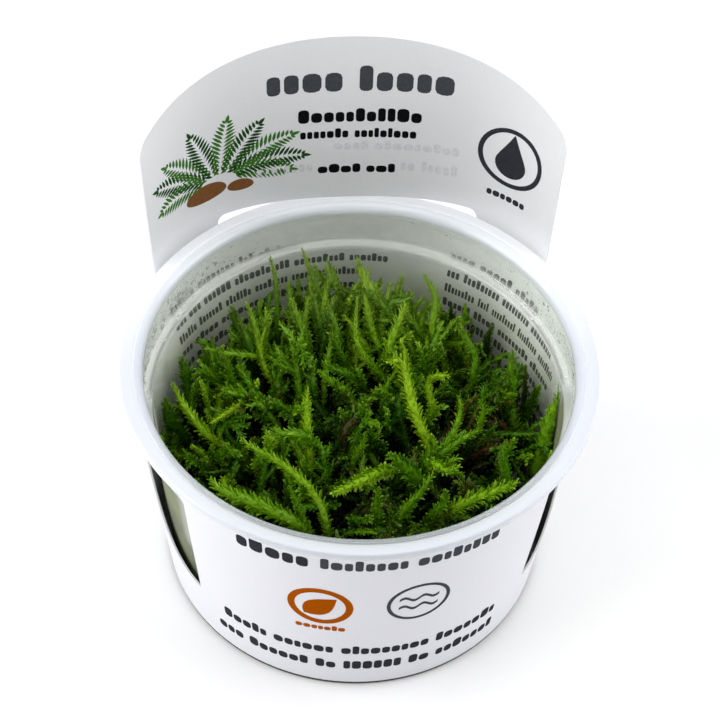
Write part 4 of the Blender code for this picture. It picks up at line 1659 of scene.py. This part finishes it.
# %% One drop
def model_drop():
    deselect_all()
    bpy.ops.mesh.primitive_ico_sphere_add(subdivisions=2, radius=1)
    drop = bpy.context.object
    bpy.ops.object.mode_set(mode="EDIT")
    bpy.ops.mesh.select_all(action="SELECT")
    bpy.ops.mesh.bisect(plane_co=(0, 0, -0.15), plane_no=(0, 0, 1), clear_inner=True,
                        use_fill=True)
    bpy.ops.mesh.select_all(action="SELECT")
    bpy.ops.mesh.quads_convert_to_tris()
    finish_edit()
    points = np.array([v.co for v in drop.data.vertices])
    faces = np.array([tuple(p.vertices) for p in drop.data.polygons])
    bpy.data.objects.remove(drop)
    return points, faces


# %% The copies of the drop, in millimetres
BAND_TOP_Z = 57.0
BAND_HEIGHT = 8.5
FINE_TRIES = 1700
LARGE_COUNT = 26
LEDGE_COUNT = 60
NO_DROPS_FROM = -0.55  # the sine of the angle round the axis, which is -1 at the front


def axes_at(angle):
    """The ways outwards and round the cup at this angle."""
    return (np.array([math.cos(angle), math.sin(angle), 0]),
            np.array([-math.sin(angle), math.cos(angle), 0]))


def drop_on_wall(rng, angle, z, size):
    """The place and the three axes of a drop on the inner wall of the band."""
    r = MOUTH_R / MM + (LEDGE_OUT_R - MOUTH_R) / MM * (BAND_TOP_Z - z) / BAND_HEIGHT
    out, along = axes_at(angle)
    inward = np.array([0, 0, 0.05]) - out
    upward = np.cross(inward, along)
    at = out * r + np.array([0, 0, z])
    return at, np.stack([along * size, upward * size * rng.uniform(1.0, 1.3), inward * size * 0.8])


def drop_on_ledge(rng, angle, size):
    r = rng.uniform(LEDGE_IN_R / MM + 0.5, LEDGE_OUT_R / MM - 0.5)
    out, along = axes_at(angle)
    at = out * r + np.array([0, 0, LEDGE_Z / MM])
    return at, np.stack([out * size, along * size * rng.uniform(1.0, 2.0),
                         np.array([0, 0, size * 0.6])])


def wetness(angle):
    """The chance that a fine drop stays: in streaks, and most at the left and right rear."""
    return (0.28 + 0.18 * math.sin(angle * 3 + 0.8) + 0.1 * math.sin(angle * 7)
            + 0.7 * math.exp(-((angle - 2.62) / 0.42) ** 2)
            + 0.6 * math.exp(-((angle - 1.20) / 0.30) ** 2))


def make_drops():
    rng = np.random.default_rng(21)
    shape, faces = model_drop()
    placed = []
    for _ in range(FINE_TRIES):
        angle = rng.uniform(0, math.tau)
        if rng.random() < wetness(angle) and math.sin(angle) > NO_DROPS_FROM:
            placed.append(drop_on_wall(rng, angle, rng.uniform(49.2, 56.2),
                                       min(0.09 + rng.exponential(0.07), 0.50)))
    for _ in range(LARGE_COUNT):
        placed.append(drop_on_wall(rng, rng.uniform(2.25, 3.25), rng.uniform(49.6, 55.0),
                                   rng.uniform(0.38, 0.80)))
    for _ in range(LEDGE_COUNT):
        placed.append(drop_on_ledge(rng, rng.uniform(0, math.tau), rng.uniform(0.18, 0.5)))
    points = np.vstack([at + shape @ axes for at, axes in placed]) * MM
    all_faces = np.vstack([faces + i * len(shape) for i in range(len(placed))])
    piece = piece_from("mist_drops", points.tolist(), all_faces.tolist())
    edit(piece)
    finish_edit(merge=0)
    bpy.ops.object.shade_smooth_by_angle(angle=math.radians(50))
    print(len(placed), "drops")
    return piece


def water():
    f = Finish("water")
    f.feed(f.shader, {"Base Color": (0.99, 0.995, 1.0, 1), "Roughness": 0.01, "IOR": 1.33,
                      "Transmission Weight": 1.0})
    f.let_lamps_through((0.97, 0.98, 0.99))
    return f.material


place_in_frame(make_drops(), water(), "clear_plastic")
